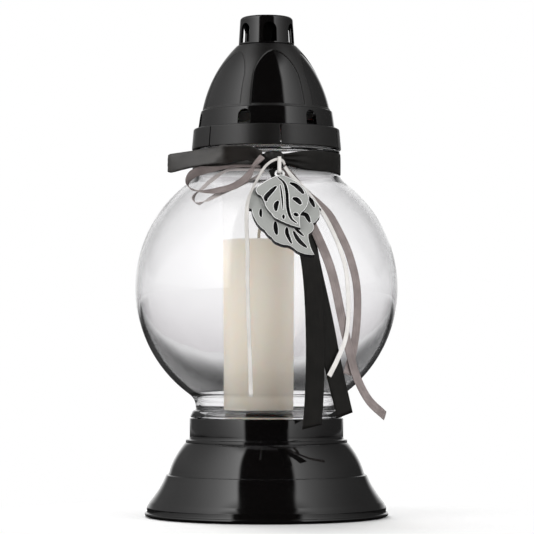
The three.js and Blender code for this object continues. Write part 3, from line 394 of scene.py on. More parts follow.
@dataclass(frozen=True)
class Cotton(Finish):
    """Braided wick cotton."""

    def shade(self, bench: Bench) -> Wire:
        """Build the shader."""
        place = bench.add("ShaderNodeSeparateXYZ", feeds={0: bench.place()}, output=2)
        turn = bench.add("ShaderNodeSeparateXYZ", feeds={0: bench.place()}, output=0)
        braid = (place * 5200 + turn * 4200).wave() * (place * 5200 - turn * 4200).wave()
        # The colour follows the braid: darker in the grooves between the plaits as painted shade, lighter on their
        # ridges.
        return bench.surface(
            Base_Color=bench.blend(braid, (0.40, 0.36, 0.29), (0.78, 0.74, 0.65)),
            Roughness=0.85,
            Normal=bench.bump(braid, 0.0002, 0.8),
        )


@dataclass(frozen=True)
class SatinRibbon(Finish):
    """Woven satin: fine cross ribs, a faint sheen, lengthwise streaks of painted light and shade, and firm
    selvedges.
    """

    shade_colour: tuple[float, float, float] = (0.0036, 0.0031, 0.0026)
    lit_colour: tuple[float, float, float] = (0.0078, 0.0069, 0.0055)
    width: float = 12.7
    roughness: float = 0.46
    sheen: float = 0.0
    lustre: float = 0.35

    def shade(self, bench: Bench) -> Wire:
        """Build the shader, on the strip's own map: across from 0 to 1, and along in metres."""
        mapped = bench.place("UV")
        across = bench.add("ShaderNodeSeparateXYZ", feeds={0: mapped}, output=0)
        along = bench.add("ShaderNodeSeparateXYZ", feeds={0: mapped}, output=1)
        weft = (along * (2 * math.pi / 0.00034)).wave()
        warp = (across * (2 * math.pi * self.width / 0.26)).wave()
        edge = (across - 0.5).maths("ABSOLUTE", across - 0.5)
        selvedge = edge.step(0.5 - 0.55 / self.width, 0.5 - 0.25 / self.width)
        painted_light_streaks = bench.noise(1, 3, bench.stretched((22, 60, 1), "UV"))
        cloud = bench.noise(120, 2)
        weave = 0.65 * weft + 0.35 * warp
        # The colour runs between the shaded and the lit colour in lengthwise streaks and along the weave: painted
        # light and shade.
        share = (0.55 * painted_light_streaks + 0.45 * cloud).step(0.3, 0.7) * (0.55 + 0.45 * weave)
        colour = bench.blend(share, self.shade_colour, self.lit_colour)
        height = bench.bump(weave + selvedge * 1.6, 0.00007, 0.7)
        creases = bench.noise(1, 2, bench.stretched((3, 160, 1), "UV"))
        height = bench.add(
            "ShaderNodeBump",
            feeds={"Height": creases, "Distance": 0.0005, "Strength": 0.25, "Normal": height},
        )
        return bench.surface(
            Base_Color=colour,
            Roughness=self.roughness + 0.14 * weave - 0.06 * share,
            Specular_IOR_Level=self.lustre,
            Sheen_Weight=self.sheen,
            Sheen_Roughness=0.35,
            Sheen_Tint=(0.8, 0.78, 0.76),
            Anisotropic=0.5,
            Normal=height,
        )


@dataclass(frozen=True)
class PlatedMetal(Finish):
    """Plated metal, bright or darkened: the bright copy paints highlights on the leaf's rims, the dark copy paints
    dark reflections on its walls and veins.
    """

    colour: tuple[float, float, float] = (0.62, 0.63, 0.63)
    roughness: float = 0.2
    metallic: float = 1.0

    def shade(self, bench: Bench) -> Wire:
        """Build the shader."""
        pit = bench.noise(1500, 2).step(0.7, 0.8)
        cloud = bench.noise(60, 2)
        return bench.surface(
            Base_Color=bench.blend(
                cloud * 0.3, self.colour, tuple(0.8 * c for c in self.colour)
            ),
            Metallic=self.metallic,
            Roughness=self.roughness + 0.04 * cloud + 0.05 * pit,
            Normal=bench.bump(cloud + 0.02 * pit, 0.0004, 0.12),
        )


GLOSS = MouldedPlastic("gloss_black_plastic")
SATIN = MouldedPlastic(
    "satin_black_plastic", colour=(0.0065, 0.006, 0.0058), roughness=0.27, grain=0.5, ripple=0.3
)
GLASS = BlownGlass("clear_blown_glass")
CUP = CupPlastic("milky_cup_plastic")
WAX = PalmWax("pale_wax")
TIN = Tinplate("rolled_tinplate")
SOOTED = MouldedPlastic("sooted_tin", colour=(0.012, 0.011, 0.010), roughness=0.5, grain=0.4)
WICK = Cotton("braided_cotton")
BLACK_RIBBON = SatinRibbon("black_satin_ribbon")
# A lighter, glossier copy of the black satin, worn by the whole bow: painted highlight where the bow catches the
# light.
BLACK_PAINTED_HIGHLIGHT = SatinRibbon(
    "black_satin_painted_highlight",
    shade_colour=(0.0065, 0.0052, 0.0042),
    lit_colour=(0.019, 0.0155, 0.0125),
    roughness=0.42,
    sheen=0.03,
    lustre=1.0,
)
TAUPE_RIBBON = SatinRibbon(
    "taupe_satin_ribbon",
    shade_colour=(0.165, 0.135, 0.130),
    lit_colour=(0.315, 0.270, 0.260),
    width=6.4,
    roughness=0.38,
    sheen=0.15,
)
# A lighter copy of the taupe satin for the lower loop: painted light, so that loop reads paler than the upper one.
TAUPE_PAINTED_LIGHT = SatinRibbon(
    "taupe_satin_painted_light",
    shade_colour=(0.42, 0.38, 0.37),
    lit_colour=(0.62, 0.57, 0.56),
    width=6.4,
    roughness=0.38,
    sheen=0.15,
)
# A darker copy of the white satin for the arch and its end over the globe: painted shade.
WHITE_PAINTED_SHADE = SatinRibbon(
    "white_satin_painted_shade",
    shade_colour=(0.50, 0.48, 0.46),
    lit_colour=(0.68, 0.66, 0.63),
    width=3.2,
    roughness=0.45,
    sheen=0.1,
)
WHITE_RIBBON = SatinRibbon(
    "white_satin_ribbon",
    shade_colour=(0.62, 0.60, 0.575),
    lit_colour=(0.82, 0.80, 0.78),
    width=3.2,
    roughness=0.35,
    sheen=0.15,
)
FACE_PLATE = PlatedMetal("plated_face", colour=(0.48, 0.49, 0.47), roughness=0.24, metallic=0.3)
# Rims wear a near-white finish: painted highlight along the leaf's rounded edges.
RIM_PAINTED_HIGHLIGHT = PlatedMetal("plated_rim_painted_highlight", colour=(0.98, 0.98, 0.97), roughness=0.3, metallic=0.45)
# Walls and vein floors wear a near-black finish: painted dark reflection, kept dark under any light.
DARK_PAINTED_REFLECTION = PlatedMetal("painted_dark_reflection", colour=(0.012, 0.012, 0.013), roughness=0.16, metallic=0.0)


# Shaping


def bend(
    start: tuple[float, float], lean: tuple[float, float], end: tuple[float, float], steps: int
) -> list[tuple[float, float]]:
    """Give the points of a curve that leans towards a point, without its start.

    Args:
        start: Where it starts.
        lean: The point that it leans towards.
        end: Where it ends.
        steps: How many points it gets.

    Returns:
        The points after the start.
    """
    points = []
    for i in range(1, steps + 1):
        t = i / steps
        a, b, c = (1 - t) ** 2, 2 * t * (1 - t), t * t
        points.append(tuple(a * s + b * m + c * e for s, m, e in zip(start, lean, end)))
    return points


def arc(
    centre: tuple[float, float], radius: float, start: float, end: float, steps: int
) -> list[tuple[float, float]]:
    """Give points of an arc, with angles in degrees."""
    angles = [math.radians(start + (end - start) * i / steps) for i in range(steps + 1)]
    return [(centre[0] + radius * math.cos(a), centre[1] + radius * math.sin(a)) for a in angles]


def between(
    first: tuple[float, float], second: tuple[float, float], shares: tuple[float, float]
) -> tuple[float, float]:
    """Give the point at given shares of the way between two corners."""
    return tuple(a + (b - a) * s for a, b, s in zip(first, second, shares))


def shifted(outline: Outline, across: float, up: float = 0.0) -> list[tuple[float, float]]:
    """Move an outline sideways and up."""
    return [(r + across, z + up) for r, z in outline]


def turned(outline: Outline, steps: int = TURN_STEPS, closed: bool = True) -> bmesh.types.BMesh:
    """Spin an outline of radius and height about the lamp's axis.

    Args:
        outline: The outline's points.
        steps: How many steps the turn has.
        closed: Whether the last point joins the first.

    Returns:
        The turned shape, with its faces outwards.
    """
    shape = bmesh.new()
    verts = [shape.verts.new((r, 0.0, z)) for r, z in outline]
    edges = [shape.edges.new(pair) for pair in zip(verts, verts[1:])]
    on_axis = abs(outline[0][0]) < 1e-6 and abs(outline[-1][0]) < 1e-6
    if closed and not on_axis:
        edges.append(shape.edges.new((verts[-1], verts[0])))
    bmesh.ops.spin(
        shape,
        geom=verts + edges,
        cent=(0, 0, 0),
        axis=(0, 0, 1),
        dvec=(0, 0, 0),
        angle=math.tau,
        steps=steps,
        use_merge=True,
        use_normal_flip=False,
        use_duplicate=False,
    )
    bmesh.ops.remove_doubles(shape, verts=shape.verts[:], dist=1e-4)
    bmesh.ops.recalc_face_normals(shape, faces=shape.faces[:])
    return shape


def radial_prism(outline: Outline, inner: float, outer: float) -> bmesh.types.BMesh:
    """Make a prism that runs outwards from the axis.

    Args:
        outline: Points of angle from the front, in radians, and height.
        inner: The radius at which it starts.
        outer: The radius at which it ends.

    Returns:
        The closed prism.
    """
    shape = bmesh.new()
    face = shape.faces.new(
        [shape.verts.new((inner * math.sin(a), -inner * math.cos(a), z)) for a, z in outline]
    )
    grown = bmesh.ops.extrude_face_region(shape, geom=[face])
    for vert in (v for v in grown["geom"] if isinstance(v, bmesh.types.BMVert)):
        vert.co.x *= outer / inner
        vert.co.y *= outer / inner
    bmesh.ops.recalc_face_normals(shape, faces=shape.faces[:])
    return shape


def arch(half: float, foot: float, spring: float, crown: float, steps: int = 12) -> Outline:
    """Give the outline of an arched opening: straight sides and a round head."""
    head = [
        (half * math.cos(math.pi * i / steps), spring + (crown - spring) * math.sin(math.pi * i / steps))
        for i in range(steps + 1)
    ]
    return [(-half, foot), (half, foot), *head]


def rounds(shape: bmesh.types.BMesh, count: int, bearing: float = 0.0) -> bmesh.types.BMesh:
    """Set copies of a shape evenly round the axis, in one mesh.

    Args:
        shape: The shape, which stands at the front.
        count: How many there are.
        bearing: How far the first is turned, in degrees.

    Returns:
        The mesh of all copies.
    """
    first = shape.verts[:] + shape.edges[:] + shape.faces[:]
    turn = Matrix.Rotation(math.radians(bearing), 3, "Z")
    bmesh.ops.rotate(shape, verts=shape.verts[:], cent=(0, 0, 0), matrix=turn)
    for i in range(1, count):
        copy = bmesh.ops.duplicate(shape, geom=first)["geom"]
        verts = [v for v in copy if isinstance(v, bmesh.types.BMVert)]
        turn = Matrix.Rotation(math.tau * i / count, 3, "Z")
        bmesh.ops.rotate(shape, verts=verts, cent=(0, 0, 0), matrix=turn)
    return shape


def merged(shapes: Iterable[bmesh.types.BMesh]) -> bmesh.types.BMesh:
    """Put several shapes in one mesh."""
    whole = bmesh.new()
    for shape in shapes:
        spare = bpy.data.meshes.new("spare")
        shape.to_mesh(spare)
        shape.free()
        whole.from_mesh(spare)
        bpy.data.meshes.remove(spare)
    return whole


def combined(
    shape: bmesh.types.BMesh, cutter: bmesh.types.BMesh, operation: str = "DIFFERENCE"
) -> bmesh.types.BMesh:
    """Cut, join or intersect two shapes.

    Args:
        shape: The shape that is kept.
        cutter: The other shape.
        operation: DIFFERENCE, UNION or INTERSECT.

    Returns:
        The result. Both inputs are used up.
    """
    blanks = []
    for name, source in (("work", shape), ("tool", cutter)):
        mesh = bpy.data.meshes.new(name)
        source.to_mesh(mesh)
        source.free()
        blank = bpy.data.objects.new(name, mesh)
        bpy.context.scene.collection.objects.link(blank)
        blanks.append(blank)
    work, tool = blanks
    knife = work.modifiers.new("cut", "BOOLEAN")
    knife.operation = operation
    knife.solver = "EXACT"
    knife.object = tool
    result = bmesh.new()
    result.from_object(work, bpy.context.evaluated_depsgraph_get())
    for blank in blanks:
        mesh = blank.data
        bpy.data.objects.remove(blank)
        bpy.data.meshes.remove(mesh)
    bmesh.ops.remove_doubles(result, verts=result.verts[:], dist=2e-3)
    bmesh.ops.dissolve_degenerate(result, edges=result.edges[:], dist=1e-3)
    return result


def rounded(
    shape: bmesh.types.BMesh,
    width: float,
    angle: float = 35.0,
    segments: int = 2,
    choose: Callable[[bmesh.types.BMEdge], bool] | None = None,
) -> bmesh.types.BMesh:
    """Round the sharp edges of a shape.

    Args:
        shape: The shape.
        width: How far the rounding reaches.
        angle: The least angle of an edge that is rounded, in degrees.
        segments: How many faces the rounding has.
        choose: A further test that an edge has to pass.

    Returns:
        The same shape.
    """
    sharp = [
        edge
        for edge in shape.edges
        if len(edge.link_faces) == 2
        and edge.calc_face_angle(0.0) > math.radians(angle)
        and (choose is None or choose(edge))
    ]
    bmesh.ops.bevel(
        shape,
        geom=sharp,
        offset=width,
        offset_type="OFFSET",
        segments=segments,
        profile=0.5,
        affect="EDGES",
        clamp_overlap=True,
        material=-1,
        loop_slide=True,
    )
    return shape


def finished(
    shape: bmesh.types.BMesh,
    name: str,
    body: Body,
    finishes: Sequence[Finish],
    stands_for: Sequence[str] = (),
    sharp: float = 40.0,
    weighted: bool = False,
) -> bpy.types.Object:
    """Turn a shape into a piece of the lamp.

    Args:
        shape: The shape, in millimetres. It is used up.
        name: The piece's name.
        body: The body that it rides on.
        finishes: Its finishes, by the material number of its faces.
        stands_for: The solids that it replaces.
        sharp: The angle from which an edge looks sharp, in degrees.
        weighted: Whether large faces keep their own direction beside rounded edges.

    Returns:
        The piece.
    """
    bmesh.ops.scale(shape, vec=(MM, MM, MM), verts=shape.verts[:])
    mesh = bpy.data.meshes.new(name)
    shape.to_mesh(mesh)
    shape.free()
    mesh.polygons.foreach_set("use_smooth", [True] * len(mesh.polygons))
    mesh.set_sharp_from_angle(angle=math.radians(sharp))
    for wear in finishes:
        mesh.materials.append(wear.material())
    piece = bpy.data.objects.new(name, mesh)
    bpy.context.scene.collection.objects.link(piece)
    if weighted:
        fair = piece.modifiers.new("fair", "WEIGHTED_NORMAL")
        fair.keep_sharp = True
    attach(piece, body.value)
    if stands_for:
        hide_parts(*stands_for)
    triangles = sum(len(polygon.vertices) - 2 for polygon in mesh.polygons)
    log.info("%s rides on %s, %d triangles", name, body.value, triangles)
    return piece


# Sizes that several pieces share

SEAT = 0.3
COLLAR_TOP = 65.5
SOCKET_FLOOR = 58.0
GLASS_SEAT = 65.8
GLASS_FLOOR = 62.7
GLOBE_CENTRE = 152.4
GLOBE_RADIUS = 87.8
NECK_RADIUS = 48.6
BEAD_TOP = 244.5
CAP_SEAT = 244.8
CAP_BEARING = 11.0
CAP_SECTORS = 6


def glass_radius(height: float, stand: float = 0.0) -> float:
    """Give the globe's outer radius at a height, with the neck above its shoulder."""
    rise = height - GLOBE_CENTRE
    reach = GLOBE_RADIUS + stand
    if rise <= 0:
        return reach
    return max(math.sqrt(max(reach * reach - rise * rise, 0.0)), NECK_RADIUS + stand)


# Foot


@dataclass
class Foot:
    """The stepped plastic foot, hollow below, with a socket for the glass."""

    radius: float = 79.9
    bead_proud: float = 1.3
    bead_height: float = 3.4
    edge: float = 0.9
    skirt_height: float = 7.0
    waist_radius: float = 67.0
    waist_height: float = 27.2
    flare_lean: tuple[float, float] = (0.26, 0.44)
    bowl_inset: float = 1.8
    bowl_top_radius: float = 54.6
    bowl_top_height: float = 48.6
    bowl_lean: tuple[float, float] = (0.81, 0.49)
    ledge_inset: float = 0.7
    ledge_thickness: float = 2.6
    collar_radius: float = 51.3
    fillet: float = 0.6
    fillet_rise: float = 2.4
    wall: float = 2.6
    socket_radius: float = 48.0
    gussets: int = 6

    def slope(self, wall: float, steps: int) -> tuple[Outline, Outline]:
        """Give the flare and the bowl, moved inwards by a wall."""
        skirt = (self.radius - wall, self.skirt_height)
        waist = (self.waist_radius - wall, self.waist_height)
        bowl_foot = (self.waist_radius - self.bowl_inset - wall, self.waist_height)
        bowl_top = (self.bowl_top_radius - wall, self.bowl_top_height)
        flare = [skirt, *bend(skirt, between(waist, skirt, self.flare_lean), waist, steps)]
        bowl = [
            bowl_foot,
            *bend(bowl_foot, between(bowl_top, bowl_foot, self.bowl_lean), bowl_top, steps),
        ]
        return flare, bowl

    def outline(self) -> Outline:
        """Give the closed outline of the moulding, from the axis round to the axis."""
        flare, bowl = self.slope(0.0, 20)
        inner_flare, inner_bowl = self.slope(self.wall, 8)
        ledge = self.bowl_top_radius - self.ledge_inset
        ledge_top = self.bowl_top_height + self.ledge_thickness
        under = SOCKET_FLOOR - self.wall
        bead = arc((self.radius, self.bead_height / 2), self.bead_proud, -60, 90, 8)
        lip = arc((self.radius - 0.5, self.skirt_height - 0.9), 0.5, 0, 60, 3)
        step = arc((self.waist_radius - 0.7, self.waist_height - 0.1), 0.7, 20, 90, 4)
        rim = arc((ledge - 0.5, ledge_top - 0.5), 0.5, 0, 90, 4)
        return [
            (0, under),
            (self.collar_radius - self.wall, under),
            *reversed(inner_bowl),
            *reversed(inner_flare),
            (self.radius - self.wall, 0.3),
            (self.radius - self.wall + 0.3, 0),
            (self.radius - self.edge, 0),
            *bead,
            (self.radius - 0.25, self.bead_height + 0.4),
            *lip,
            *flare[2:-1],
            *step,
            *arc((self.waist_radius - self.bowl_inset + 0.5, self.waist_height + 1.0), 0.5, 240, 180, 4),
            *bowl[2:],
            (ledge, self.bowl_top_height + self.fillet),
            *rim,
            (self.collar_radius + self.fillet, ledge_top + 0.15),
            *bend(
                (self.collar_radius + self.fillet, ledge_top + 0.15),
                (self.collar_radius, ledge_top + 0.3),
                (self.collar_radius, ledge_top + self.fillet_rise),
                5,
            ),
            *arc((self.collar_radius - 0.5, COLLAR_TOP - 0.5), 0.5, 0, 90, 4),
            (self.socket_radius + 0.3, COLLAR_TOP),
            (self.socket_radius, COLLAR_TOP - 0.3),
            (self.socket_radius, SOCKET_FLOOR),
            (0, SOCKET_FLOOR),
        ]

    def web(self) -> bmesh.types.BMesh:
        """Make the stiffening webs under the socket, whose ends stand inside the wall."""
        shape = bmesh.new()
        bmesh.ops.create_cube(shape, size=1.0)
        bmesh.ops.scale(shape, vec=(38.0, 1.6, 15.0), verts=shape.verts[:])
        top = SOCKET_FLOOR - self.wall / 2
        bmesh.ops.translate(shape, vec=(26.0 + 19.0, 0, top - 7.5), verts=shape.verts[:])
        for low, high in (((26.0, 0, top - 2.8), (66.0, 0, top - 15.0)),):
            run = Vector(high) - Vector(low)
            bmesh.ops.bisect_plane(
                shape,
                geom=shape.verts[:] + shape.edges[:] + shape.faces[:],
                plane_co=low,
                plane_no=run.cross(Vector((0, 1, 0))),
                clear_outer=False,
                clear_inner=True,
            )
        bmesh.ops.bisect_plane(
            shape,
            geom=shape.verts[:] + shape.edges[:] + shape.faces[:],
            plane_co=(52.2, 0, 47.4),
            plane_no=(10.0, 0, 11.0),
            clear_outer=True,
        )
        bmesh.ops.holes_fill(shape, edges=shape.edges[:])
        bmesh.ops.recalc_face_normals(shape, faces=shape.faces[:])
        return rounds(shape, self.gussets, 90.0)

    def make(self) -> bpy.types.Object:
        """Make the foot."""
        shape = merged([turned(self.outline(), 224), self.web()])
        return finished(
            shape, "foot_moulding", Body.LAMP, [GLOSS], ["base_shell"], sharp=38
        )


# Glass


@dataclass
class Globe:
    """The blown globe, with its foot, flange, necks and bead."""

    wall: float = 3.0
    spigot_radius: float = 47.4
    flange_radius: float = 50.8
    flange_thickness: float = 4.9
    lower_neck_radius: float = 47.2
    lower_neck_height: float = 14.2
    fillet_rise: float = 8.0
    fillet_spread: float = 5.6
    bead_proud: float = 0.8
    bead_thickness: float = 2.6
    lip_radius: float = 47.0
    lip_height: float = 9.6

    def outline(self) -> Outline:
        """Give the outline of the wall, from the axis round to the axis."""
        inside = GLOBE_RADIUS - self.wall
        flange_top = GLASS_SEAT + self.flange_thickness
        drop = GLASS_SEAT + self.lower_neck_height - GLOBE_CENTRE
        shoulder = math.degrees(math.acos((NECK_RADIUS + self.fillet_spread) / GLOBE_RADIUS))
        inner_neck = NECK_RADIUS - self.wall
        inner_shoulder = math.degrees(math.acos((inner_neck + self.fillet_spread) / inside))
        outer = arc((0, GLOBE_CENTRE), GLOBE_RADIUS, math.degrees(math.asin(drop / GLOBE_RADIUS)), shoulder, 64)
        inner = arc((0, GLOBE_CENTRE), inside, inner_shoulder, math.degrees(math.asin(drop / inside)), 64)
        neck_foot = (NECK_RADIUS, outer[-1][1] + self.fillet_rise)
        inner_foot = (inner_neck, inner[0][1] + self.fillet_rise)
        lean_out = (NECK_RADIUS, outer[-1][1] + self.fillet_rise * 0.55)
        lean_in = (inner_neck, inner_foot[1] - self.fillet_rise * 0.45)
        bead_middle = NECK_RADIUS - self.bead_thickness / 2 + self.bead_proud
        glass_top = BEAD_TOP + self.lip_height
        low = self.lower_neck_radius
        return [
            (0, GLASS_FLOOR - 4.4),
            *arc((self.spigot_radius - 1.2, GLASS_FLOOR - 3.2), 1.2, -90, 0, 5),
            (self.spigot_radius, GLASS_SEAT),
            *arc((self.flange_radius - 1.2, GLASS_SEAT + 1.2), 1.2, -90, 0, 5),
            *bend((self.flange_radius - 1.1, flange_top - 1.3), (self.flange_radius - 1.6, flange_top),
                  (self.flange_radius - 2.7, flange_top), 6),
            *bend((self.flange_radius - 2.7, flange_top), (low, flange_top + 0.1), (low, flange_top + 2.0), 5),
            *bend((low, flange_top + 2.0), (low + 0.1, outer[1][1] - 3.2), outer[1], 7),
            *outer[2:],
            *bend(outer[-1], lean_out, neck_foot, 8),
            (NECK_RADIUS, BEAD_TOP - self.bead_thickness - 0.6),
            *arc((bead_middle, BEAD_TOP - self.bead_thickness / 2), self.bead_thickness / 2, -75, 60, 8),
            (self.lip_radius + 0.3, BEAD_TOP),
            (self.lip_radius, BEAD_TOP + 0.4),
            *arc((self.lip_radius - 0.7, glass_top - 0.7), 0.7, 0, 180, 8),
            (inner_neck, glass_top - 2.0),
            inner_foot,
            *bend(inner_foot, lean_in, inner[0], 8),
            *inner[1:-1],
            *bend(inner[-2], (low - self.wall, inner[-1][1] - 2.6), (low - self.wall, flange_top), 7),
            *bend(
                (low - self.wall, GLASS_FLOOR + 4.0),
                (low - self.wall, GLASS_FLOOR),
                (low - self.wall - 4.0, GLASS_FLOOR),
                7,
            ),
            (0, GLASS_FLOOR),
        ]

    def make(self) -> bpy.types.Object:
        """Make the globe."""
        return finished(
            turned(self.outline(), 256), "blown_globe", Body.LAMP, [GLASS],
            ["glass_globe"], sharp=60,
        )


# Cap


@dataclass
class Cap:
    """The vented cap: a slit skirt, a band of vents and a ribbed dome."""

    wall: float = 1.7
    skirt_radius: float = 50.1
    skirt_taper: float = 1.1
    skirt_height: float = 14.0
    skirt_edge: float = 1.2
    slit_width: float = 1.0
    band_radius: float = 45.9
    band_taper: float = 1.6
    band_height: float = 12.0
    band_edge: float = 0.9
    vent_width: float = 8.9
    vent_height: float = 9.6
    vent_sill: float = 0.5
    dome_radius: float = 43.2
    dome_height: float = 44.2
    dome_lean: tuple[float, float] = (0.79, 0.42)
    dome_top_radius: float = 19.8
    panel_depth: float = 0.6
    panel_height: float = 38.0
    panel_foot_share: float = 0.02
    panel_spring_share: float = 0.5
    rib_angle: float = 9.4
    hole_radius: float = 15.3

    @property
    def skirt_top(self) -> float:
        """The height at which the band starts."""
        return CAP_SEAT + self.skirt_height

    @property
    def band_top(self) -> float:
        """The height at which the dome starts."""
        return self.skirt_top + self.band_height

    @property
    def dome_top(self) -> float:
        """The height of the dome's flat top."""
        return self.band_top + self.dome_height

    def dome_curve(self, wall: float, steps: int) -> Outline:
        """Give the dome's curve, moved inwards by a wall."""
        foot = (self.dome_radius - wall, self.band_top)
        top = (self.dome_top_radius - wall, self.dome_top)
        return [foot, *bend(foot, between(top, foot, self.dome_lean), top, steps)]

    def make_skirt(self) -> bpy.types.Object:
        """Make the skirt and its shoulder, with six slits."""
        head = self.skirt_radius - self.skirt_taper
        top = self.skirt_top
        seam = self.band_radius - 0.3
        outline = [
            (self.skirt_radius - self.wall, CAP_SEAT + 0.3),
            (self.skirt_radius - self.wall + 0.3, CAP_SEAT),
            (self.skirt_radius - 0.4, CAP_SEAT),
            (self.skirt_radius, CAP_SEAT + 0.4),
            *arc((head - self.skirt_edge, top - self.skirt_edge), self.skirt_edge, 0, 90, 6),
            (seam, top),
            (seam, top - self.wall),
            (head - self.wall, top - self.wall),
        ]
        half = self.slit_width / 2 / self.skirt_radius
        slit = radial_prism(
            [(-half, CAP_SEAT - 3), (half, CAP_SEAT - 3), (half, top - 0.9), (-half, top - 0.9)],
            head - self.wall - 2,
            self.skirt_radius + 3,
        )
        shape = combined(turned(outline, 180), rounds(slit, CAP_SECTORS, CAP_BEARING))
        shape = rounded(shape, 0.22, 50, 2)
        return finished(
            shape, "cap_skirt", Body.CAP, [SATIN], ["cap_shell"], sharp=42, weighted=True
        )

    def make_band(self) -> bpy.types.Object:
        """Make the band, with six arched vents."""
        head = self.band_radius - self.band_taper
        foot = self.skirt_top
        top = self.band_top
        outline = [
            (self.band_radius - self.wall, foot - self.wall),
            (self.band_radius - 0.2, foot - 0.2),
            (self.band_radius, foot + 0.2),
            *arc((head - self.band_edge, top - self.band_edge), self.band_edge, 0, 90, 6),
            (self.dome_radius - 0.6, top),
            (self.dome_radius - self.wall, top - self.wall),
            (head - self.wall, top - self.wall),
        ]
        half = self.vent_width / 2 / self.band_radius
        sill = foot + self.vent_sill
        vent = radial_prism(
            arch(half, sill, sill + self.vent_height - self.vent_width / 2, sill + self.vent_height, 16),
            head - self.wall - 3,
            self.band_radius + 3,
        )
        bearing = CAP_BEARING + 180 / CAP_SECTORS
        shape = combined(turned(outline, 180), rounds(vent, CAP_SECTORS, bearing))
        shape = rounded(shape, 0.25, 50, 2)
        return finished(
            shape, "vent_band", Body.CAP, [GLOSS], sharp=42, weighted=True
        )

    def sink(self, angle: float, height: float) -> float:
        """Give how deep a panel is sunk at a place on the dome.

        Args:
            angle: The angle from the nearest panel's middle, in radians.
            height: The height over the band's top.

        Returns:
            A share from 0 on a rib to 1 in a panel.
        """
        sector = math.tau / CAP_SECTORS
        half = sector / 2 - math.radians(self.rib_angle) / 2
        foot = self.dome_height * self.panel_foot_share
        spring = foot + self.panel_height * self.panel_spring_share
        crown = foot + self.panel_height
        across = (half - abs(angle)) * self.dome_radius
        if height > spring:
            rise = (height - spring) / (crown - spring)
            if rise >= 1:
                return 0.0
            across = (half * math.sqrt(1 - rise * rise) - abs(angle)) * self.dome_radius
            across = min(across, (1 - math.hypot(rise, angle / half)) * (crown - spring))
        depth = min(across, height - foot)
        share = min(max(depth / 0.4 + 0.2, 0.0), 1.0)
        return share * share * (3 - 2 * share)

    def make_dome(self) -> bpy.types.Object:
        """Make the dome: satin ribs that stand proud of six bright arched panels."""
        outer = self.dome_curve(0.0, 110)
        inner = [
            (r, min(z, self.dome_top - self.wall)) for r, z in self.dome_curve(self.wall, 10)
        ]
        top = self.dome_top
        crown = [
            *arc((self.dome_top_radius - 0.7, top - 0.7), 0.7, 35, 90, 5),
            (self.hole_radius + 0.4, top),
            (self.hole_radius, top - 0.4),
            (self.hole_radius, top - self.wall),
        ]
        shape = turned([*outer[:-1], *crown, *reversed(inner[1:])], 504)
        sector = math.tau / CAP_SECTORS
        bearing = math.radians(CAP_BEARING)
        sunk = {}
        for vert in shape.verts:
            radius = math.hypot(vert.co.x, vert.co.y)
            height = vert.co.z - self.band_top
            angle = math.atan2(vert.co.x, -vert.co.y) - bearing
            angle = (angle + sector / 2) % sector - sector / 2
            share = self.sink(angle, height)
            wall_inside = radius < self.dome_radius - self.wall - 0.02 and height < 0.1
            if share > 0 and not wall_inside and self.outside(radius, vert.co.z):
                sunk[vert.index] = share
                vert.co.x *= 1 - self.panel_depth * share / radius
                vert.co.y *= 1 - self.panel_depth * share / radius
                vert.co.z -= 0.25 * self.panel_depth * share * height / self.dome_height
        for face in shape.faces:
            shares = [sunk.get(vert.index, 0.0) for vert in face.verts]
            face.material_index = 1 if min(shares) > 0.45 else 0
        return finished(
            shape, "ribbed_dome", Body.CAP, [SATIN, GLOSS], sharp=80
        )

    def outside(self, radius: float, height: float) -> bool:
        """Tell whether a point lies on the dome's outer curve."""
        curve = self.dome_curve(0.0, 40)
        for (r0, z0), (r1, z1) in zip(curve, curve[1:]):
            if z0 - 1e-3 <= height <= z1 + 1e-3:
                share = (height - z0) / max(z1 - z0, 1e-6)
                return radius > r0 + (r1 - r0) * share - 0.4
        return False

    def make(self) -> list[bpy.types.Object]:
        """Make the cap's three parts."""
        return [self.make_skirt(), self.make_band(), self.make_dome()]


@dataclass
class Chimney:
    """The slotted knob on top of the dome."""

    cap: Cap
    radius: float = 18.8
    taper: float = 1.0
    height: float = 19.0
    bearing: float = 7.4
    edge: float = 2.5
    wall: float = 1.8
    spigot_radius: float = 15.0
    spigot_length: float = 5.4
    flange: float = 1.0
    slot_angle: float = 28.8
    slot_margin: float = 4.9
    sleeve: float = 11.6

    def make(self) -> bpy.types.Object:
        """Make the chimney."""
        foot = self.cap.dome_top + SEAT
        top = foot + self.height
        head = self.radius - self.taper
        bore = self.spigot_radius - self.wall
        outline = [
            (0, top - self.wall),
            (self.sleeve - 1.0, top - self.wall),
            (self.sleeve - 1.0, foot + self.flange),
            (self.sleeve, foot + self.flange),
            (self.sleeve, top - self.wall),
            (head - self.edge, top - self.wall),
            (head - self.wall, top - self.edge),
            (self.radius - self.wall, foot + self.flange),
            (bore, foot + self.flange),
            (bore, foot - self.spigot_length),
            (self.spigot_radius - 0.3, foot - self.spigot_length),
            (self.spigot_radius, foot - self.spigot_length + 0.3),
            (self.spigot_radius, foot),
            (self.radius - 0.3, foot),
            (self.radius, foot + 0.3),
            *arc((head - self.edge, top - self.edge), self.edge, 0, 90, 8),
            (0, top),
        ]
        crown = top - self.slot_margin
        slot = radial_prism(
            arch(
                math.radians(self.slot_angle) / 2, foot + self.flange, crown - self.slot_margin, crown, 14
            ),
            bore - 0.7,
            self.radius + 3,
        )
        shape = combined(turned(outline, 168), rounds(slot, CAP_SECTORS, self.bearing))
        shape = rounded(shape, 0.25, 50, 2)
        return finished(
            shape, "slotted_chimney", Body.CAP, [GLOSS], ["chimney"], sharp=42,
            weighted=True,
        )


# Candle insert


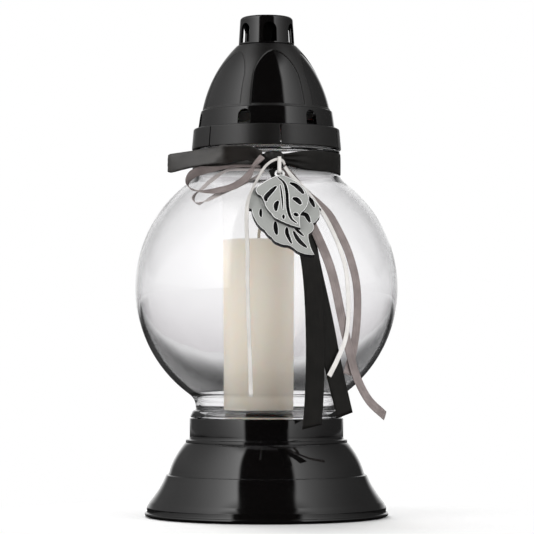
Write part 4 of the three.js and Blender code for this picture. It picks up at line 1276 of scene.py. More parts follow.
@dataclass
class Candle:
    """The candle insert: a milky cup of wax with a braided wick."""

    across: float = -5.3
    radius: float = 25.0
    taper: float = 0.7
    height: float = 167.0
    wall: float = 0.8
    ring_height: float = 136.0
    ring_proud: float = 0.4
    wax_height: float = 121.5
    wax_dip: float = 1.0
    wick_radius: float = 1.2
    wick_above: float = 10.0
    seat: float = GLASS_FLOOR + SEAT

    def cup_radius(self, height: float) -> float:
        """Give the cup's outer radius at a height."""
        return self.radius - self.taper * (1 - (height - self.seat) / self.height)

    def stand(self, shape: bmesh.types.BMesh) -> bmesh.types.BMesh:
        """Move a shape onto the insert's own axis."""
        bmesh.ops.translate(shape, vec=(self.across, 0, 0), verts=shape.verts[:])
        return shape

    def make_cup(self) -> bpy.types.Object:
        """Make the cup, with its bead and a rolled rim."""
        top = self.seat + self.height
        floor = self.seat + self.wall
        ring = self.seat + self.ring_height
        outline = [
            (0, self.seat + 0.6),
            (self.cup_radius(floor) - 4.0, self.seat + 0.6),
            (self.cup_radius(floor) - 3.2, self.seat),
            *arc((self.cup_radius(floor) - 1.5, self.seat + 1.5), 1.5, -90, 0, 5),
            (self.cup_radius(ring), ring - 0.2),
            *arc((self.cup_radius(ring) - 0.4, ring + 0.8), 0.8, -50, 50, 6),
            (self.cup_radius(ring), ring + 1.8),
            *arc((self.radius - self.wall / 2, top - self.wall / 2), self.wall / 2, 0, 180, 6),
            (self.cup_radius(floor) - self.wall, floor + 1.0),
            (self.cup_radius(floor) - self.wall - 1.0, floor),
            (0, floor),
        ]
        return finished(
            self.stand(turned(outline, 128)), "wax_cup", Body.INSERT, [CUP],
            ["insert_cup"], sharp=50,
        )

    def make_wax(self) -> bpy.types.Object:
        """Make the wax, with a meniscus at the wall and a hollow round the wick."""
        foot = self.seat + self.wall + SEAT
        top = self.seat + self.wax_height
        gap = self.wall + SEAT
        low, high = self.cup_radius(foot) - gap, self.cup_radius(top) - gap
        bore = self.wick_radius + SEAT
        outline = [
            (bore, foot),
            (low - 1.0, foot),
            (low, foot + 1.0),
            (high, top - 0.2),
            (high - 0.3, top),
            *bend((high - 0.3, top), (high - 1.6, top - self.wax_dip), (high / 2, top - self.wax_dip), 8),
            *bend(
                (high / 2, top - self.wax_dip),
                (bore + 3.0, top - self.wax_dip),
                (bore, top - self.wax_dip / 2),
                6,
            ),
        ]
        shape = turned(outline, 128)
        for vert in shape.verts:
            if vert.co.z > top - 2:
                lump = noise.noise(Vector((vert.co.x * 0.09, vert.co.y * 0.09, 4.0)))
                vert.co.z += 0.25 * lump
        return finished(
            self.stand(shape), "poured_wax", Body.INSERT, [WAX], ["candle_wax"], sharp=60
        )

    def make_wick(self) -> bpy.types.Object:
        """Make the wick: three plaited cords that lean at the top."""
        foot = self.seat + self.wall + SEAT
        top = self.seat + self.wax_height
        height = self.wax_height - self.wall - SEAT + self.wick_above
        shape = bmesh.new()
        bmesh.ops.create_circle(shape, cap_ends=True, segments=12, radius=0.62)
        bmesh.ops.translate(shape, vec=(0.5, 0, foot), verts=shape.verts[:])
        shape.faces.ensure_lookup_table()
        face = shape.faces[0]
        steps = 110
        for i in range(1, steps + 1):
            grown = bmesh.ops.extrude_discrete_faces(shape, faces=[face])["faces"]
            face = grown[0]
            rise = height / steps
            bmesh.ops.rotate(
                shape,
                verts=face.verts[:],
                cent=(0, 0, 0),
                matrix=Matrix.Rotation(math.tau * rise / 9.0, 3, "Z"),
            )
            bmesh.ops.translate(shape, vec=(0, 0, rise), verts=face.verts[:])
        bmesh.ops.holes_fill(shape, edges=shape.edges[:], sides=12)
        shape = rounds(shape, 3)
        for vert in shape.verts:
            over = max(vert.co.z - top, 0) / self.wick_above
            vert.co.x += self.wick_radius * over * over
        bmesh.ops.recalc_face_normals(shape, faces=shape.faces[:])
        return finished(
            self.stand(shape), "plaited_wick", Body.INSERT, [WICK], ["candle_wick"], sharp=70
        )

    def make(self) -> list[bpy.types.Object]:
        """Make the cup, the wax and the wick."""
        return [self.make_cup(), self.make_wax(), self.make_wick()]


# Ribbons


class Hold(Enum):
    """How a length of ribbon is held."""

    FREE = "bare"
    LOOPED = "object"
    FOLDED = "folded"
    STUB = "too short to declare"


class Facing(Enum):
    """Where the face of a strip looks."""

    GLASS = "away from the glass"
    FRONT = "level and outwards"
    UPRIGHT = "sideways, with the strip on its edge"
    WIDTH = "so that the width keeps one direction"


def way_of(facing: Facing, point: Vector, tangent: Vector, width: Vector | None) -> Vector:
    """Give the direction in which a strip's face looks at a point."""
    if facing is Facing.GLASS:
        return Vector((point.x, point.y, max(point.z - GLOBE_CENTRE, 0))).normalized()
    if facing is Facing.FRONT:
        return Vector((point.x, point.y, 0)).normalized()
    if facing is Facing.UPRIGHT:
        return Vector((0, 0, 1)).cross(tangent)
    return tangent.cross(width)


def smooth_line(points: Sequence[Vector], steps: int) -> list[tuple[Vector, Vector]]:
    """Give points and directions along a smooth line through given points.

    Args:
        points: The points that it passes.
        steps: How many steps each span gets.

    Returns:
        Pairs of a point and the line's direction there.
    """
    ends = [2 * points[0] - points[1], *points, 2 * points[-1] - points[-2]]
    spans = []
    for i in range(len(points) - 1):
        p0, p1, p2, p3 = ends[i : i + 4]
        t0, t1, t2 = (max(math.sqrt((b - a).length), 1e-4) for a, b in ((p0, p1), (p1, p2), (p2, p3)))
        m1 = ((p1 - p0) / t0 - (p2 - p0) / (t0 + t1) + (p2 - p1) / t1) * t1
        m2 = ((p2 - p1) / t1 - (p3 - p1) / (t1 + t2) + (p3 - p2) / t2) * t1
        spans.append((p1, m1, 2 * m1 * -1 - m2 + 3 * (p2 - p1), m1 + m2 + 2 * (p1 - p2)))
    line = []
    for i in range(len(spans) * steps + 1):
        span = min(i // steps, len(spans) - 1)
        t = i / steps - span
        a, b, c, d = spans[span]
        line.append((a + b * t + c * t * t + d * t**3, (b + 2 * c * t + 3 * d * t * t).normalized()))
    return line


@dataclass
class Strip:
    """A length of ribbon that follows a route.

    Free controls are (across, depth, height, roll, width share). Controls over the glass are
    (across, height, stand-off, roll, width share). A roll is counted in quarter turns.
    """

    name: str
    node: str
    width: float
    wear: SatinRibbon
    slot: str
    free: Sequence[tuple[float, ...]] = ()
    over_glass: Sequence[tuple[float, ...]] = ()
    facing: Facing = Facing.GLASS
    width_way: Vector | None = None
    hold: Hold = Hold.FREE
    slant: float = 0.0
    cup: float = 0.25
    steps: int = 10
    columns: int = 10

    def controls(self) -> list[tuple[Vector, float, float]]:
        """Give each control's point, roll and width share."""
        found = []
        for x, y, z, *rest in self.free:
            roll, share = [*rest, *(0.0, 1.0)[len(rest) :]][:2]
            found.append((Vector((x, y, z)), roll, share))
        for x, z, stand, *rest in self.over_glass:
            roll, share = [*rest, *(0.0, 1.0)[len(rest) :]][:2]
            radius = glass_radius(z, stand)
            found.append((Vector((x, -math.sqrt(radius * radius - x * x), z)), roll, share))
        return found

    def shape(self) -> tuple[bmesh.types.BMesh, list[Vector]]:
        """Extrude the strip's end along its route.

        Returns:
            The strip, and the line that it follows.
        """
        controls = self.controls()
        line = smooth_line([point for point, _, _ in controls], self.steps)
        shape = bmesh.new()
        map_layer = shape.loops.layers.uv.new("UVMap")
        row = [shape.verts.new((0, 0, 0)) for _ in range(self.columns + 1)]
        edges = [shape.edges.new(pair) for pair in zip(row, row[1:])]
        rows, run, marks = [row], 0.0, [0.0]
        for (before, _), (here, _) in zip(line, line[1:]):
            run += (here - before).length
            marks.append(run)
            grown = bmesh.ops.extrude_edge_only(shape, edges=edges)["geom"]
            edges = [part for part in grown if isinstance(part, bmesh.types.BMEdge)
                     and all(not v.link_faces or True for v in part.verts)]
            fresh = [part for part in grown if isinstance(part, bmesh.types.BMVert)]
            row = self.ordered(rows[-1], fresh)
            edges = [shape.edges.get(pair) for pair in zip(row, row[1:])]
            rows.append(row)
        for i, ((point, tangent), row) in enumerate(zip(line, rows)):
            span = min(i // self.steps, len(controls) - 2)
            t = i / self.steps - span
            roll = controls[span][1] * (1 - t) + controls[span + 1][1] * t
            share = controls[span][2] * (1 - t) + controls[span + 1][2] * t
            face = way_of(self.facing, point, tangent, self.width_way)
            across = face.cross(tangent).normalized()
            across.rotate(Matrix.Rotation(roll * math.pi / 2, 3, tangent))
            face = tangent.cross(across)
            end = max(1 - (run - marks[i]) / (0.6 * self.width), 0.0)
            for k, vert in enumerate(row):
                side = 2 * k / self.columns - 1
                narrow = share * self.width / 2
                gather = self.cup * (1 - side * side) + 1.1 * (1 - share) * math.sin(side * 9.0) * 0.5
                vert.co = (
                    point
                    + across * (side * narrow)
                    + face * (gather - self.cup * 0.6)
                    + tangent * (self.slant * side * end)
                )
        for j, (low, high) in enumerate(zip(rows, rows[1:])):
            for k in range(self.columns):
                pane = shape.faces.get((low[k], low[k + 1], high[k + 1], high[k]))
                for loop in pane.loops:
                    upper = loop.vert in (high[k], high[k + 1])
                    right = loop.vert in (low[k + 1], high[k + 1])
                    loop[map_layer].uv = ((k + right) / self.columns, marks[j + upper] * MM)
        return shape, [point for point, _ in line]

    @staticmethod
    def ordered(before: list[bmesh.types.BMVert], fresh: list[bmesh.types.BMVert]) -> list[bmesh.types.BMVert]:
        """Put new corners in the order of the ones that they grew from."""
        new = set(fresh)
        return [
            next(e.other_vert(v) for e in v.link_edges if e.other_vert(v) in new) for v in before
        ]

    def make(self) -> bpy.types.Object:
        shape, line = self.shape()
        area = sum(face.calc_area() for face in shape.faces)
        piece = finished(shape, self.name, Body.LAMP, [self.wear], [self.node], sharp=75)
        cloth = piece.modifiers.new("cloth", "SOLIDIFY")
        cloth.thickness = 0.28 * MM
        cloth.offset = 0.0
        length = sum((b - a).length for a, b in zip(line, line[1:])) * MM
        if self.hold in (Hold.FREE, Hold.LOOPED):
            tuple(line[0] * MM)
            [tuple(point * MM) for point in line]
        elif self.hold is Hold.FOLDED:
            min(area, self.width * length / MM) * MM * MM
        return piece


BLACK = {"width": 12.7, "wear": BLACK_RIBBON, "slot": "black_ribbon"}
TAUPE = {"width": 6.4, "wear": TAUPE_RIBBON, "slot": "taupe_ribbon", "columns": 8, "cup": 0.15}
WHITE = {"width": 3.2, "wear": WHITE_RIBBON, "slot": "white_ribbon", "columns": 6, "cup": 0.08}

STRIPS = [
    # The bow wears the lighter copy of the black satin: painted highlight.
    Strip(
        "black_bow", "bow_loop", **{**BLACK, "wear": BLACK_PAINTED_HIGHLIGHT}, facing=Facing.UPRIGHT, hold=Hold.FOLDED,
        free=[(-3.2, -55.6, 236.2, -0.1, 0.5), (-12, -57.8, 237.8, -0.45, 0.95), (-24, -57.4, 237.6, -0.4, 1),
              (-33, -54.2, 237.1, 0.3, 0.98), (-49, -43.6, 235.6, 0.3), (-59, -34.8, 234.3, 0.16),
              (-63.6, -30.4, 233.8, 0.04, 0.97), (-65, -28.2, 233.7, 0, 0.84),
              (-63.2, -27.6, 233.6, -0.04, 0.94), (-54, -34.4, 234.6, -0.26), (-42, -43.4, 236, -0.34),
              (-27, -51.2, 237, 0.2), (-12, -54.6, 237, 0, 0.9), (-3.2, -53.4, 236.4, 0, 0.6)],
    ),
    Strip(
        "black_end_left", "black_tail_left", **BLACK, free=[(4, -55.6, 228, 0, 0.5)], slant=-2.0,
        over_glass=[(8, 221, 2.5, 0, 0.7), (15.5, 207, 1.9), (22, 191, 1.9), (26, 178, 2),
                    (28.6, 162, 2), (30.2, 142, 2), (31, 110, 2), (30.2, 79, 2), (28.8, 61.8, 2)],
    ),
    Strip(
        "black_end_right", "black_tail_right", **BLACK, free=[(6, -53, 228.2, 0, 0.5)],
        over_glass=[(11, 221, 1.4, 0, 0.7), (17, 206, 0.9), (20.4, 197, 0.9), (23.4, 187, 0.9),
                    (27, 172, 0.9), (31, 154, 0.9), (35.2, 136, 0.9), (38.4, 121, 0.9),
                    (41, 107.5, 0.9), (44.8, 91, 0.9), (50.2, 69, 0.9)],
    ),
    Strip(
        "taupe_upper_loop", "taupe_loop_upper", **TAUPE, hold=Hold.LOOPED,
        over_glass=[(-8.6, 229, 8.4, 0, 0.4), (-12.6, 222.6, 5.6, 0, 1), (-20, 217, 3.8, 0, 1.05),
                    (-32, 213.8, 4, 0.05), (-42.5, 213.9, 5.2, 0.4, 0.9), (-49.6, 216.2, 4.8, 0.9, 0.6),
                    (-52, 220.6, 5.6, 1, 0.55), (-49.2, 225.4, 7.4, 1, 0.9), (-43.6, 228.2, 7, 1, 1),
                    (-37, 229.2, 6.6, 1, 0.85), (-28, 230, 6.2, 1, 0.55), (-16, 230.3, 5.8, 1, 0.35),
                    (-4, 229.8, 5.6, 1, 0.3)],
    ),
    # The lower loop wears the lighter taupe copy: painted light.
    Strip(
        "taupe_lower_loop", "taupe_loop_lower", **{**TAUPE, "wear": TAUPE_PAINTED_LIGHT}, hold=Hold.LOOPED,
        over_glass=[(-1.6, 226.6, 5.4, 0, 0.35), (-8, 222, 2.4, 0, 0.4), (-17, 217.4, 1.3, 0, 0.5),
                    (-29, 212.6, 1.3, 0, 0.8), (-38, 207.8, 1.6, 0.2, 0.85), (-44.4, 205.6, 2.2, 0.8, 0.7),
                    (-47.4, 208.2, 2.4, 1, 0.7), (-46, 212, 2.2, 1.5, 0.7),
                    (-42, 215.6, 1.8, 1.9, 0.8), (-37, 220.4, 1.8, 2, 0.8), (-31, 225.2, 2.2, 2, 0.75),
                    (-25, 228, 3, 2, 0.5), (-13, 228, 3, 2, 0.35), (-3.4, 227.6, 3.4, 2, 0.35)],
    ),
    Strip(
        "taupe_folded_end", "taupe_fold", **TAUPE, hold=Hold.STUB, facing=Facing.WIDTH, width_way=Vector((-0.8, 0, 0.6)),
        free=[(-9, -60.4, 229.2, 0, 0.3), (-5.8, -60.6, 232.6, 0, 0.5), (-3.2, -60.2, 235.2, 0, 0.6),
              (-2.6, -59.6, 235.8, 0, 0.6), (-3.3, -59, 235, 0, 0.6), (-5.8, -58.6, 232.4, 0, 0.5),
              (-8.2, -58.4, 229.8, 0, 0.3)],
    ),
    Strip(
        "taupe_end_left", "taupe_tail_left", **TAUPE, free=[(11.4, -53.4, 230.8, 0, 0.3)],
        over_glass=[(16.8, 225.2, 3.4, 0, 0.3), (23, 217, 2.3, 0, 0.3), (28.4, 211, 1.9, 0, 0.5),
                    (34, 205.4, 1.8, 0, 0.8), (40.4, 198, 1.8), (46.2, 187.6, 1.8), (51.6, 176, 1.8),
                    (54.8, 166.4, 1.8), (57.8, 153, 1.8), (58.4, 134.6, 1.8), (56, 112.8, 1.8),
                    (51.6, 95, 1.8)],
    ),
    Strip(
        "taupe_end_right", "taupe_tail_right", **TAUPE, free=[(10.1, -55.1, 228.5, 0, 0.35)],
        over_glass=[(14.2, 221, 3.5, 0, 0.5), (21.6, 208, 3, 0, 0.7), (27.6, 194, 3),
                    (33.6, 181, 3.1), (39, 168, 3.1), (43, 155, 3.1), (48.2, 130.5, 3.1),
                    (54, 106.2, 3.1), (57.8, 93.4, 3.1), (65.5, 79, 3.1), (77, 68, 3.1)],
    ),
    Strip(
        "white_end_right", "white_tail_right", **WHITE, free=[(11.8, -56.6, 229.4)],
        over_glass=[(15.4, 224.6, 5), (21, 218.4, 4.3), (27.6, 210.8, 4), (33.3, 202.6, 4),
                    (37.6, 196, 4), (45.2, 180, 4), (50.6, 163, 4), (52, 149, 4), (52.2, 130, 4),
                    (50.2, 117.1, 4.1), (45, 104.3, 4.1), (39.8, 94.1, 4.1)],
    ),
    # The arch wears the darker white copy: painted shade.
    Strip(
        "white_arch_and_end", "white_arch", **{**WHITE, "wear": WHITE_PAINTED_SHADE}, facing=Facing.FRONT,
        free=[(11.8, -57.8, 230.8, 0, 0.5), (10.6, -59.4, 232.9, 0, 0.5), (8.4, -60.1, 234, 0, 0.5),
              (5.6, -60.4, 233.7, 0, 0.5), (2.2, -60.9, 231.9, 0, 0.5), (-0.4, -61.8, 229.6, 0, 0.5),
              (-2.8, -63.6, 226.2, 0, 0.5), (-4.8, -66.2, 222.4, 0, 0.5), (-6.7, -69.8, 218.6, 0, 0.5),
              (-8.8, -74.2, 214.2, 0, 0.5), (-10.6, -78.4, 209.8, 0, 0.5), (-11.8, -81.8, 205.2, 0, 0.7),
              (-12.4, -84, 200.4, 0, 0.8), (-12.7, -85.1, 194, 0, 0.8), (-12.6, -85.2, 187, 0, 0.8)],
        over_glass=[(-12, 175, 1.4, 0.1, 0.8), (-12, 160, 0.9, 0.15, 0.8), (-11.8, 142, 0.8, 0.15, 0.8),
                    (-10.6, 110, 0.8, 0.1, 0.8), (-9.8, 81.2, 0.8, 0, 0.85)],
    ),
]


@dataclass
class NeckWrap:
    """The black ribbon round the neck and the knot that it is tied in."""

    knot_height: float = 234.6
    knot_across: float = 4.5
    knot_out: float = 53.6
    knot_radii: tuple[float, float, float] = (7.0, 3.4, 5.6)
    band_width: float = 12.7

    def make_band(self) -> bpy.types.Object:
        """Make the band, which gathers and folds where it enters the knot."""
        steps, columns = 220, 14
        shape = bmesh.new()
        map_layer = shape.loops.layers.uv.new("UVMap")
        middle = self.knot_height + SEAT
        radius = NECK_RADIUS + 0.85
        rows = []
        for i in range(steps):
            turn = math.tau * i / steps
            away = abs((turn + math.pi) % math.tau - math.pi)
            gather = math.exp(-((max(away - 0.1, 0) / 0.26) ** 2))
            height = self.band_width * (1.06 - 0.5 * gather) / 2
            bearing = turn + math.atan2(self.knot_across, self.knot_out)
            row = []
            for k in range(columns + 1):
                side = 2 * k / columns - 1
                pleat = 0.55 * gather * math.sin(side * 9 + 5 * turn)
                slack = 0.25 * noise.noise(Vector((math.cos(turn) * 3, math.sin(turn) * 3, side * 0.8)))
                out = radius + pleat + slack + 0.15 * (1 - side * side)
                up = side * height + 0.35 * noise.noise(Vector((turn * 2.3, 7.0, 0)))
                row.append(shape.verts.new((out * math.sin(bearing), -out * math.cos(bearing), middle + up)))
            rows.append(row)
        for i, row in enumerate(rows):
            following = rows[(i + 1) % steps]
            for k in range(columns):
                pane = shape.faces.new((row[k], following[k], following[k + 1], row[k + 1]))
                for loop, (u, v) in zip(pane.loops, ((k, i), (k, i + 1), (k + 1, i + 1), (k + 1, i))):
                    loop[map_layer].uv = (u / columns, v * math.tau * radius * MM / steps)
        piece = finished(
            shape, "neck_ribbon", Body.LAMP, [BLACK_RIBBON], ["neck_band"], sharp=75
        )
        cloth = piece.modifiers.new("cloth", "SOLIDIFY")
        cloth.thickness = 0.28 * MM
        cloth.offset = 0.0
        return piece

    def make_knot(self) -> bpy.types.Object:
        """Make the knot: a tight roll with pleats that run over it."""
        shape = bmesh.new()
        bmesh.ops.create_uvsphere(shape, u_segments=64, v_segments=40, radius=1.0, calc_uvs=True)
        for vert in shape.verts:
            x, y, z = vert.co
            fold = 0.055 * math.sin(9.0 * x + 2.0 * z) + 0.05 * noise.noise(Vector((x * 2, y * 2, z * 2)))
            square = 1 + 0.10 * abs(x * z) * 2
            vert.co = Vector((x, y, z)) * (0.95 + fold) * square
        bmesh.ops.scale(shape, vec=self.knot_radii, verts=shape.verts[:])
        bmesh.ops.translate(
            shape, vec=(self.knot_across, -self.knot_out, self.knot_height), verts=shape.verts[:]
        )
        return finished(
            shape, "ribbon_roll", Body.LAMP, [BLACK_RIBBON], ["ribbon_knot"], sharp=75
        )

    def make(self) -> list[bpy.types.Object]:
        """Make the band, the knot and every loop and end."""
        return [self.make_band(), self.make_knot(), *(strip.make() for strip in STRIPS)]


# Leaf


@dataclass
class Leaf:
    """The plated leaf, a small one raised on a large one, and the ribbon loop that holds it."""

    bearing: float = 8.0
    eye_out: float = 60.0
    eye_height: float = 226.6
    stand_off: float = 2.9
    length: float = 70.4
    width: float = 48.0
    thickness: float = 3.0
    small_length: float = 44.4
    small_width: float = 34.2
    small_raise: float = 2.4
    small_drop: float = 3.0
    eye_bore: float = 3.6
    eye_bar: float = 1.6
    eye_lap: float = 1.4
    vein_depth: float = 1.8
    loop_depth: float = 3.6
    loop_rise: float = 7.4
    loop_width: float = 2.0
    large_lobes: list[tuple[float, ...]] = field(default_factory=lambda: [
        (0.5, 0.427, 0.344, 0.171), (0.463, 0.411, 0.488, 0.43), (0.434, 0.559, 0.51, 0.501),
        (0.363, 0.609, 0.417, 0.596), (0.284, 0.75, 0.4, 0.698), (0.333, 1, 0.271, 0.88),
        (0.1, 0.948, 0.2, 1.009), (-0.012, 0.883, 0.05, 0.895), (-0.121, 0.858, -0.066, 0.886),
        (-0.208, 0.787, -0.183, 0.843), (-0.289, 0.701, -0.258, 0.763),
        (-0.398, 0.578, -0.371, 0.649), (-0.433, 0.436, -0.437, 0.501), (-0.5, 0.378, -0.496, 0.427),
        (-0.354, 0.162, -0.491, 0.248), (0, 0, -0.19, 0.085)])
    small_lobes: list[tuple[float, ...]] = field(default_factory=lambda: [
        (0.482, 0.429, 0.449, 0.155), (0.342, 0.691, 0.461, 0.59), (0.27, 0.783, 0.285, 0.728),
        (0.252, 1, 0.248, 0.876), (-0.139, 0.853, 0.042, 0.949), (-0.255, 0.742, -0.23, 0.82),
        (-0.364, 0.576, -0.327, 0.677), (-0.421, 0.41, -0.364, 0.498), (-0.509, 0.313, -0.497, 0.382),
        (-0.448, 0.224, -0.509, 0.258), (0, 0, -0.23, 0.069)])
    large_veins: list[tuple] = field(default_factory=lambda: [
        (1.9, (-0.308, 0.434), (-0.321, 0.489), (-0.321, 0.543)),
        (2.9, (-0.136, 0.592), (-0.141, 0.676), (-0.136, 0.76)),
        (2.6, (0.01, 0.664), (0.003, 0.736), (0.048, 0.867)),
        (3.0, (0.089, 0.712), (0.154, 0.831), (0.245, 0.915)),
        (2.0, (0.102, 0.664), (0.161, 0.718), (0.22, 0.772)),
        (3.4, (0.209, 0.507), (0.276, 0.501), (0.327, 0.604)),
        (2.8, (0.345, 0.276), (0.384, 0.337), (0.409, 0.41))])
    small_veins: list[tuple] = field(default_factory=lambda: [
        (3.1, (-0.11, 0.225), (-0.225, 0.33), (-0.33, 0.44), (-0.34, 0.513)),
        (3.0, (-0.105, 0.50), (-0.155, 0.58), (-0.172, 0.693)),
        (1.7, (-0.035, 0.755), (-0.04, 0.795), (-0.045, 0.84)),
        (3.3, (0.15, 0.16), (0.25, 0.205), (0.335, 0.286), (0.391, 0.368)),
        (3.8, (0.17, 0.45), (0.25, 0.48), (0.314, 0.567)),
        (3.0, (0.165, 0.725), (0.2, 0.755), (0.238, 0.783)),
        (1.1, (-0.035, 0.2), (-0.028, 0.331), (-0.028, 0.5), (-0.035, 0.66)),
        (2.1, (-0.067, 0.05), (0.045, 0.167), (0.072, 0.331), (0.061, 0.657), (0.107, 0.837),
         (0.199, 0.917))])

    @property
    def lean(self) -> float:
        """How far the leaf leans out of the vertical where it rests on the shoulder, in radians."""
        rise = self.eye_height - GLOBE_CENTRE
        reach = math.hypot(self.eye_out, rise)
        touch = GLOBE_RADIUS + self.stand_off + self.thickness / 2
        return math.asin(touch / reach) - math.atan2(self.eye_out, rise)

    @property
    def place(self) -> Matrix:
        """The move from the leaf's own plane to the lamp."""
        return (
            Matrix.Rotation(math.radians(self.bearing), 4, "Z")
            @ Matrix.Translation((0, -self.eye_out, self.eye_height))
            @ Matrix.Rotation(math.pi / 2 - self.lean, 4, "X")
        )

    def plate(self, lobes: Sequence[tuple[float, ...]], width: float, length: float, top: float,
              low: float, high: float) -> bmesh.types.BMesh:
        """Make a flat leaf of some thickness from its lobes."""
        here = (lobes[-1][0] * width, -top - lobes[-1][1] * length)
        points: list[tuple[float, float]] = []
        for end_x, end_y, lean_x, lean_y in lobes:
            end = (end_x * width, -top - end_y * length)
            points += bend(here, (lean_x * width, -top - lean_y * length), end, 8)
            here = end
        return self.prism(points, low, high)

    @staticmethod
    def prism(points: Outline, low: float, high: float) -> bmesh.types.BMesh:
        """Make an upright prism on an outline."""
        shape = bmesh.new()
        face = shape.faces.new([shape.verts.new((x, y, low)) for x, y in points])
        grown = bmesh.ops.extrude_face_region(shape, geom=[face])["geom"]
        verts = [part for part in grown if isinstance(part, bmesh.types.BMVert)]
        bmesh.ops.translate(shape, vec=(0, 0, high - low), verts=verts)
        bmesh.ops.recalc_face_normals(shape, faces=shape.faces[:])
        return shape

    def groove(self, vein: tuple, width: float, length: float, top: float, level: float) -> bmesh.types.BMesh:
        """Make the pointed prism that cuts a vein.

        Args:
            vein: How wide it is, and the points that it passes, as shares of the leaf.
            width: The leaf's width.
            length: The leaf's length.
            top: How far under the eye the leaf starts.
            level: The height of the leaf's face.

        Returns:
            The prism.
        """
        broad, *route = vein
        line = smooth_line([Vector((x * width, -top - y * length, 0)) for x, y in route], 6)
        flanks: tuple[list, list] = ([], [])
        for i, (point, way) in enumerate(line):
            swell = math.sin(math.pi * (0.05 + 0.9 * i / (len(line) - 1))) ** 0.55
            side = Vector((-way.y, way.x, 0)) * (swell * broad / 2)
            flanks[0].append(point + side)
            flanks[1].append(point - side)
        outline = [(p.x, p.y) for p in (*flanks[0], *reversed(flanks[1]))]
        return self.prism(outline, level - self.vein_depth, level + 3)

    def make_leaf(self) -> bpy.types.Object:
        """Make the leaf, with a painted highlight on its rims and a painted dark reflection on its veins and walls.
        """
        half = self.thickness / 2
        small_top = half + self.small_raise
        drop = (self.eye_bore + self.eye_bar) / 2
        ring_out = self.eye_bore / 2 + self.eye_bar
        leaf_top = drop + ring_out - self.eye_lap
        length = self.length - leaf_top
        small_drop = leaf_top + self.small_drop - self.eye_lap
        large = self.plate(self.large_lobes, self.width, length, leaf_top, -half, half)
        small = self.plate(self.small_lobes, self.small_width, self.small_length, small_drop, 0.05, small_top)
        veins = [
            self.groove(vein, self.width, length, leaf_top, half) for vein in self.large_veins
        ]
        fine = [
            self.groove(vein, self.small_width, self.small_length, small_drop, small_top)
            for vein in self.small_veins
        ]
        parts = []
        for plate, cutters, top in ((large, veins, half), (small, fine, small_top)):
            for cutter in cutters:
                plate = combined(plate, cutter)
            upper = lambda edge, level=top: all(abs(v.co.z - level) < 0.01 for v in edge.verts)
            plate = rounded(plate, 0.5, 50, 3, upper)
            face = [part for part in plate.faces if part.normal.z > 0.98 and part.calc_center_median().z > top - 0.1]
            face = bmesh.ops.triangulate(plate, faces=face)["faces"]
            # The inset border and the rounded edges go to the rim finish: a painted highlight.
            bmesh.ops.inset_region(plate, faces=face, thickness=0.36, depth=-0.12, use_even_offset=False)
            parts.append(self.sorted_faces(plate, top))
        eye = bmesh.new()
        bmesh.ops.create_circle(eye, cap_ends=False, segments=14, radius=self.eye_bar / 2)
        bmesh.ops.rotate(eye, verts=eye.verts[:], cent=(0, 0, 0), matrix=Matrix.Rotation(math.pi / 2, 3, "X"))
        bmesh.ops.translate(eye, vec=((self.eye_bore + self.eye_bar) / 2, 0, 0), verts=eye.verts[:])
        bmesh.ops.spin(eye, geom=eye.verts[:] + eye.edges[:], cent=(0, 0, 0), axis=(0, 0, 1),
                       dvec=(0, 0, 0), angle=math.tau, steps=36, use_merge=True, use_duplicate=False)
        bmesh.ops.recalc_face_normals(eye, faces=eye.faces[:])
        bmesh.ops.translate(eye, vec=(0, -drop, 0), verts=eye.verts[:])
        # The eye ring wears the rim finish too, with its painted highlight.
        for face in eye.faces:
            face.material_index = 1
        shape = merged([*parts, eye])
        bmesh.ops.transform(shape, matrix=self.place, verts=shape.verts[:])
        return finished(
            shape, "plated_leaf_pair", Body.LEAF, [FACE_PLATE, RIM_PAINTED_HIGHLIGHT, DARK_PAINTED_REFLECTION],
            ["leaf_pendant"], sharp=55, weighted=True,
        )

    @staticmethod
    def sorted_faces(shape: bmesh.types.BMesh, top: float) -> bmesh.types.BMesh:
        """Give faces, rims with a painted highlight and walls with a painted dark reflection their finish numbers.
        """
        shape.normal_update()
        for face in shape.faces:
            level = face.calc_center_median().z
            if face.normal.z > 0.98 and level > top - 0.2:
                face.material_index = 0
            elif face.normal.z > 0.12 and level > top - 0.5:
                face.material_index = 1
            else:
                # Everything else, the walls and vein floors, takes the painted dark reflection.
                face.material_index = 2
        return shape

    def make_loop(self) -> bpy.types.Object:
        """Make the ribbon loop that passes through the eye."""
        turn = self.eye_bar / math.sqrt(2) + SEAT + 0.5
        middle = self.loop_rise / 2
        line = [
            *((math.cos(a) * -self.loop_depth / 2, self.loop_rise + math.sin(a) * self.loop_depth / 2)
              for a in (math.pi * i / 10 for i in range(11))),
            *bend((self.loop_depth / 2, self.loop_rise), (self.loop_depth / 2, middle), (turn, 0), 8),
            *((turn * math.cos(-a), turn * math.sin(-a)) for a in (math.pi * i / 12 for i in range(1, 13))),
            *bend((-turn, 0), (-self.loop_depth / 2, middle), (-self.loop_depth / 2, self.loop_rise), 8)[:-1],
        ]
        shape = bmesh.new()
        map_layer = shape.loops.layers.uv.new("UVMap")
        columns = 6
        rows = [
            [shape.verts.new(((2 * k / columns - 1) * self.loop_width / 2, y, z)) for k in range(columns + 1)]
            for y, z in line
        ]
        for i, row in enumerate(rows):
            following = rows[(i + 1) % len(rows)]
            for k in range(columns):
                pane = shape.faces.new((row[k], row[k + 1], following[k + 1], following[k]))
                for loop, (u, v) in zip(pane.loops, ((k, i), (k + 1, i), (k + 1, i + 1), (k, i + 1))):
                    loop[map_layer].uv = (u / columns, v * 0.0009)
        bmesh.ops.recalc_face_normals(shape, faces=shape.faces[:])
        bmesh.ops.transform(
            shape,
            matrix=Matrix.Rotation(math.radians(self.bearing), 4, "Z")
            @ Matrix.Translation((0, -self.eye_out, self.eye_height)),
            verts=shape.verts[:],
        )
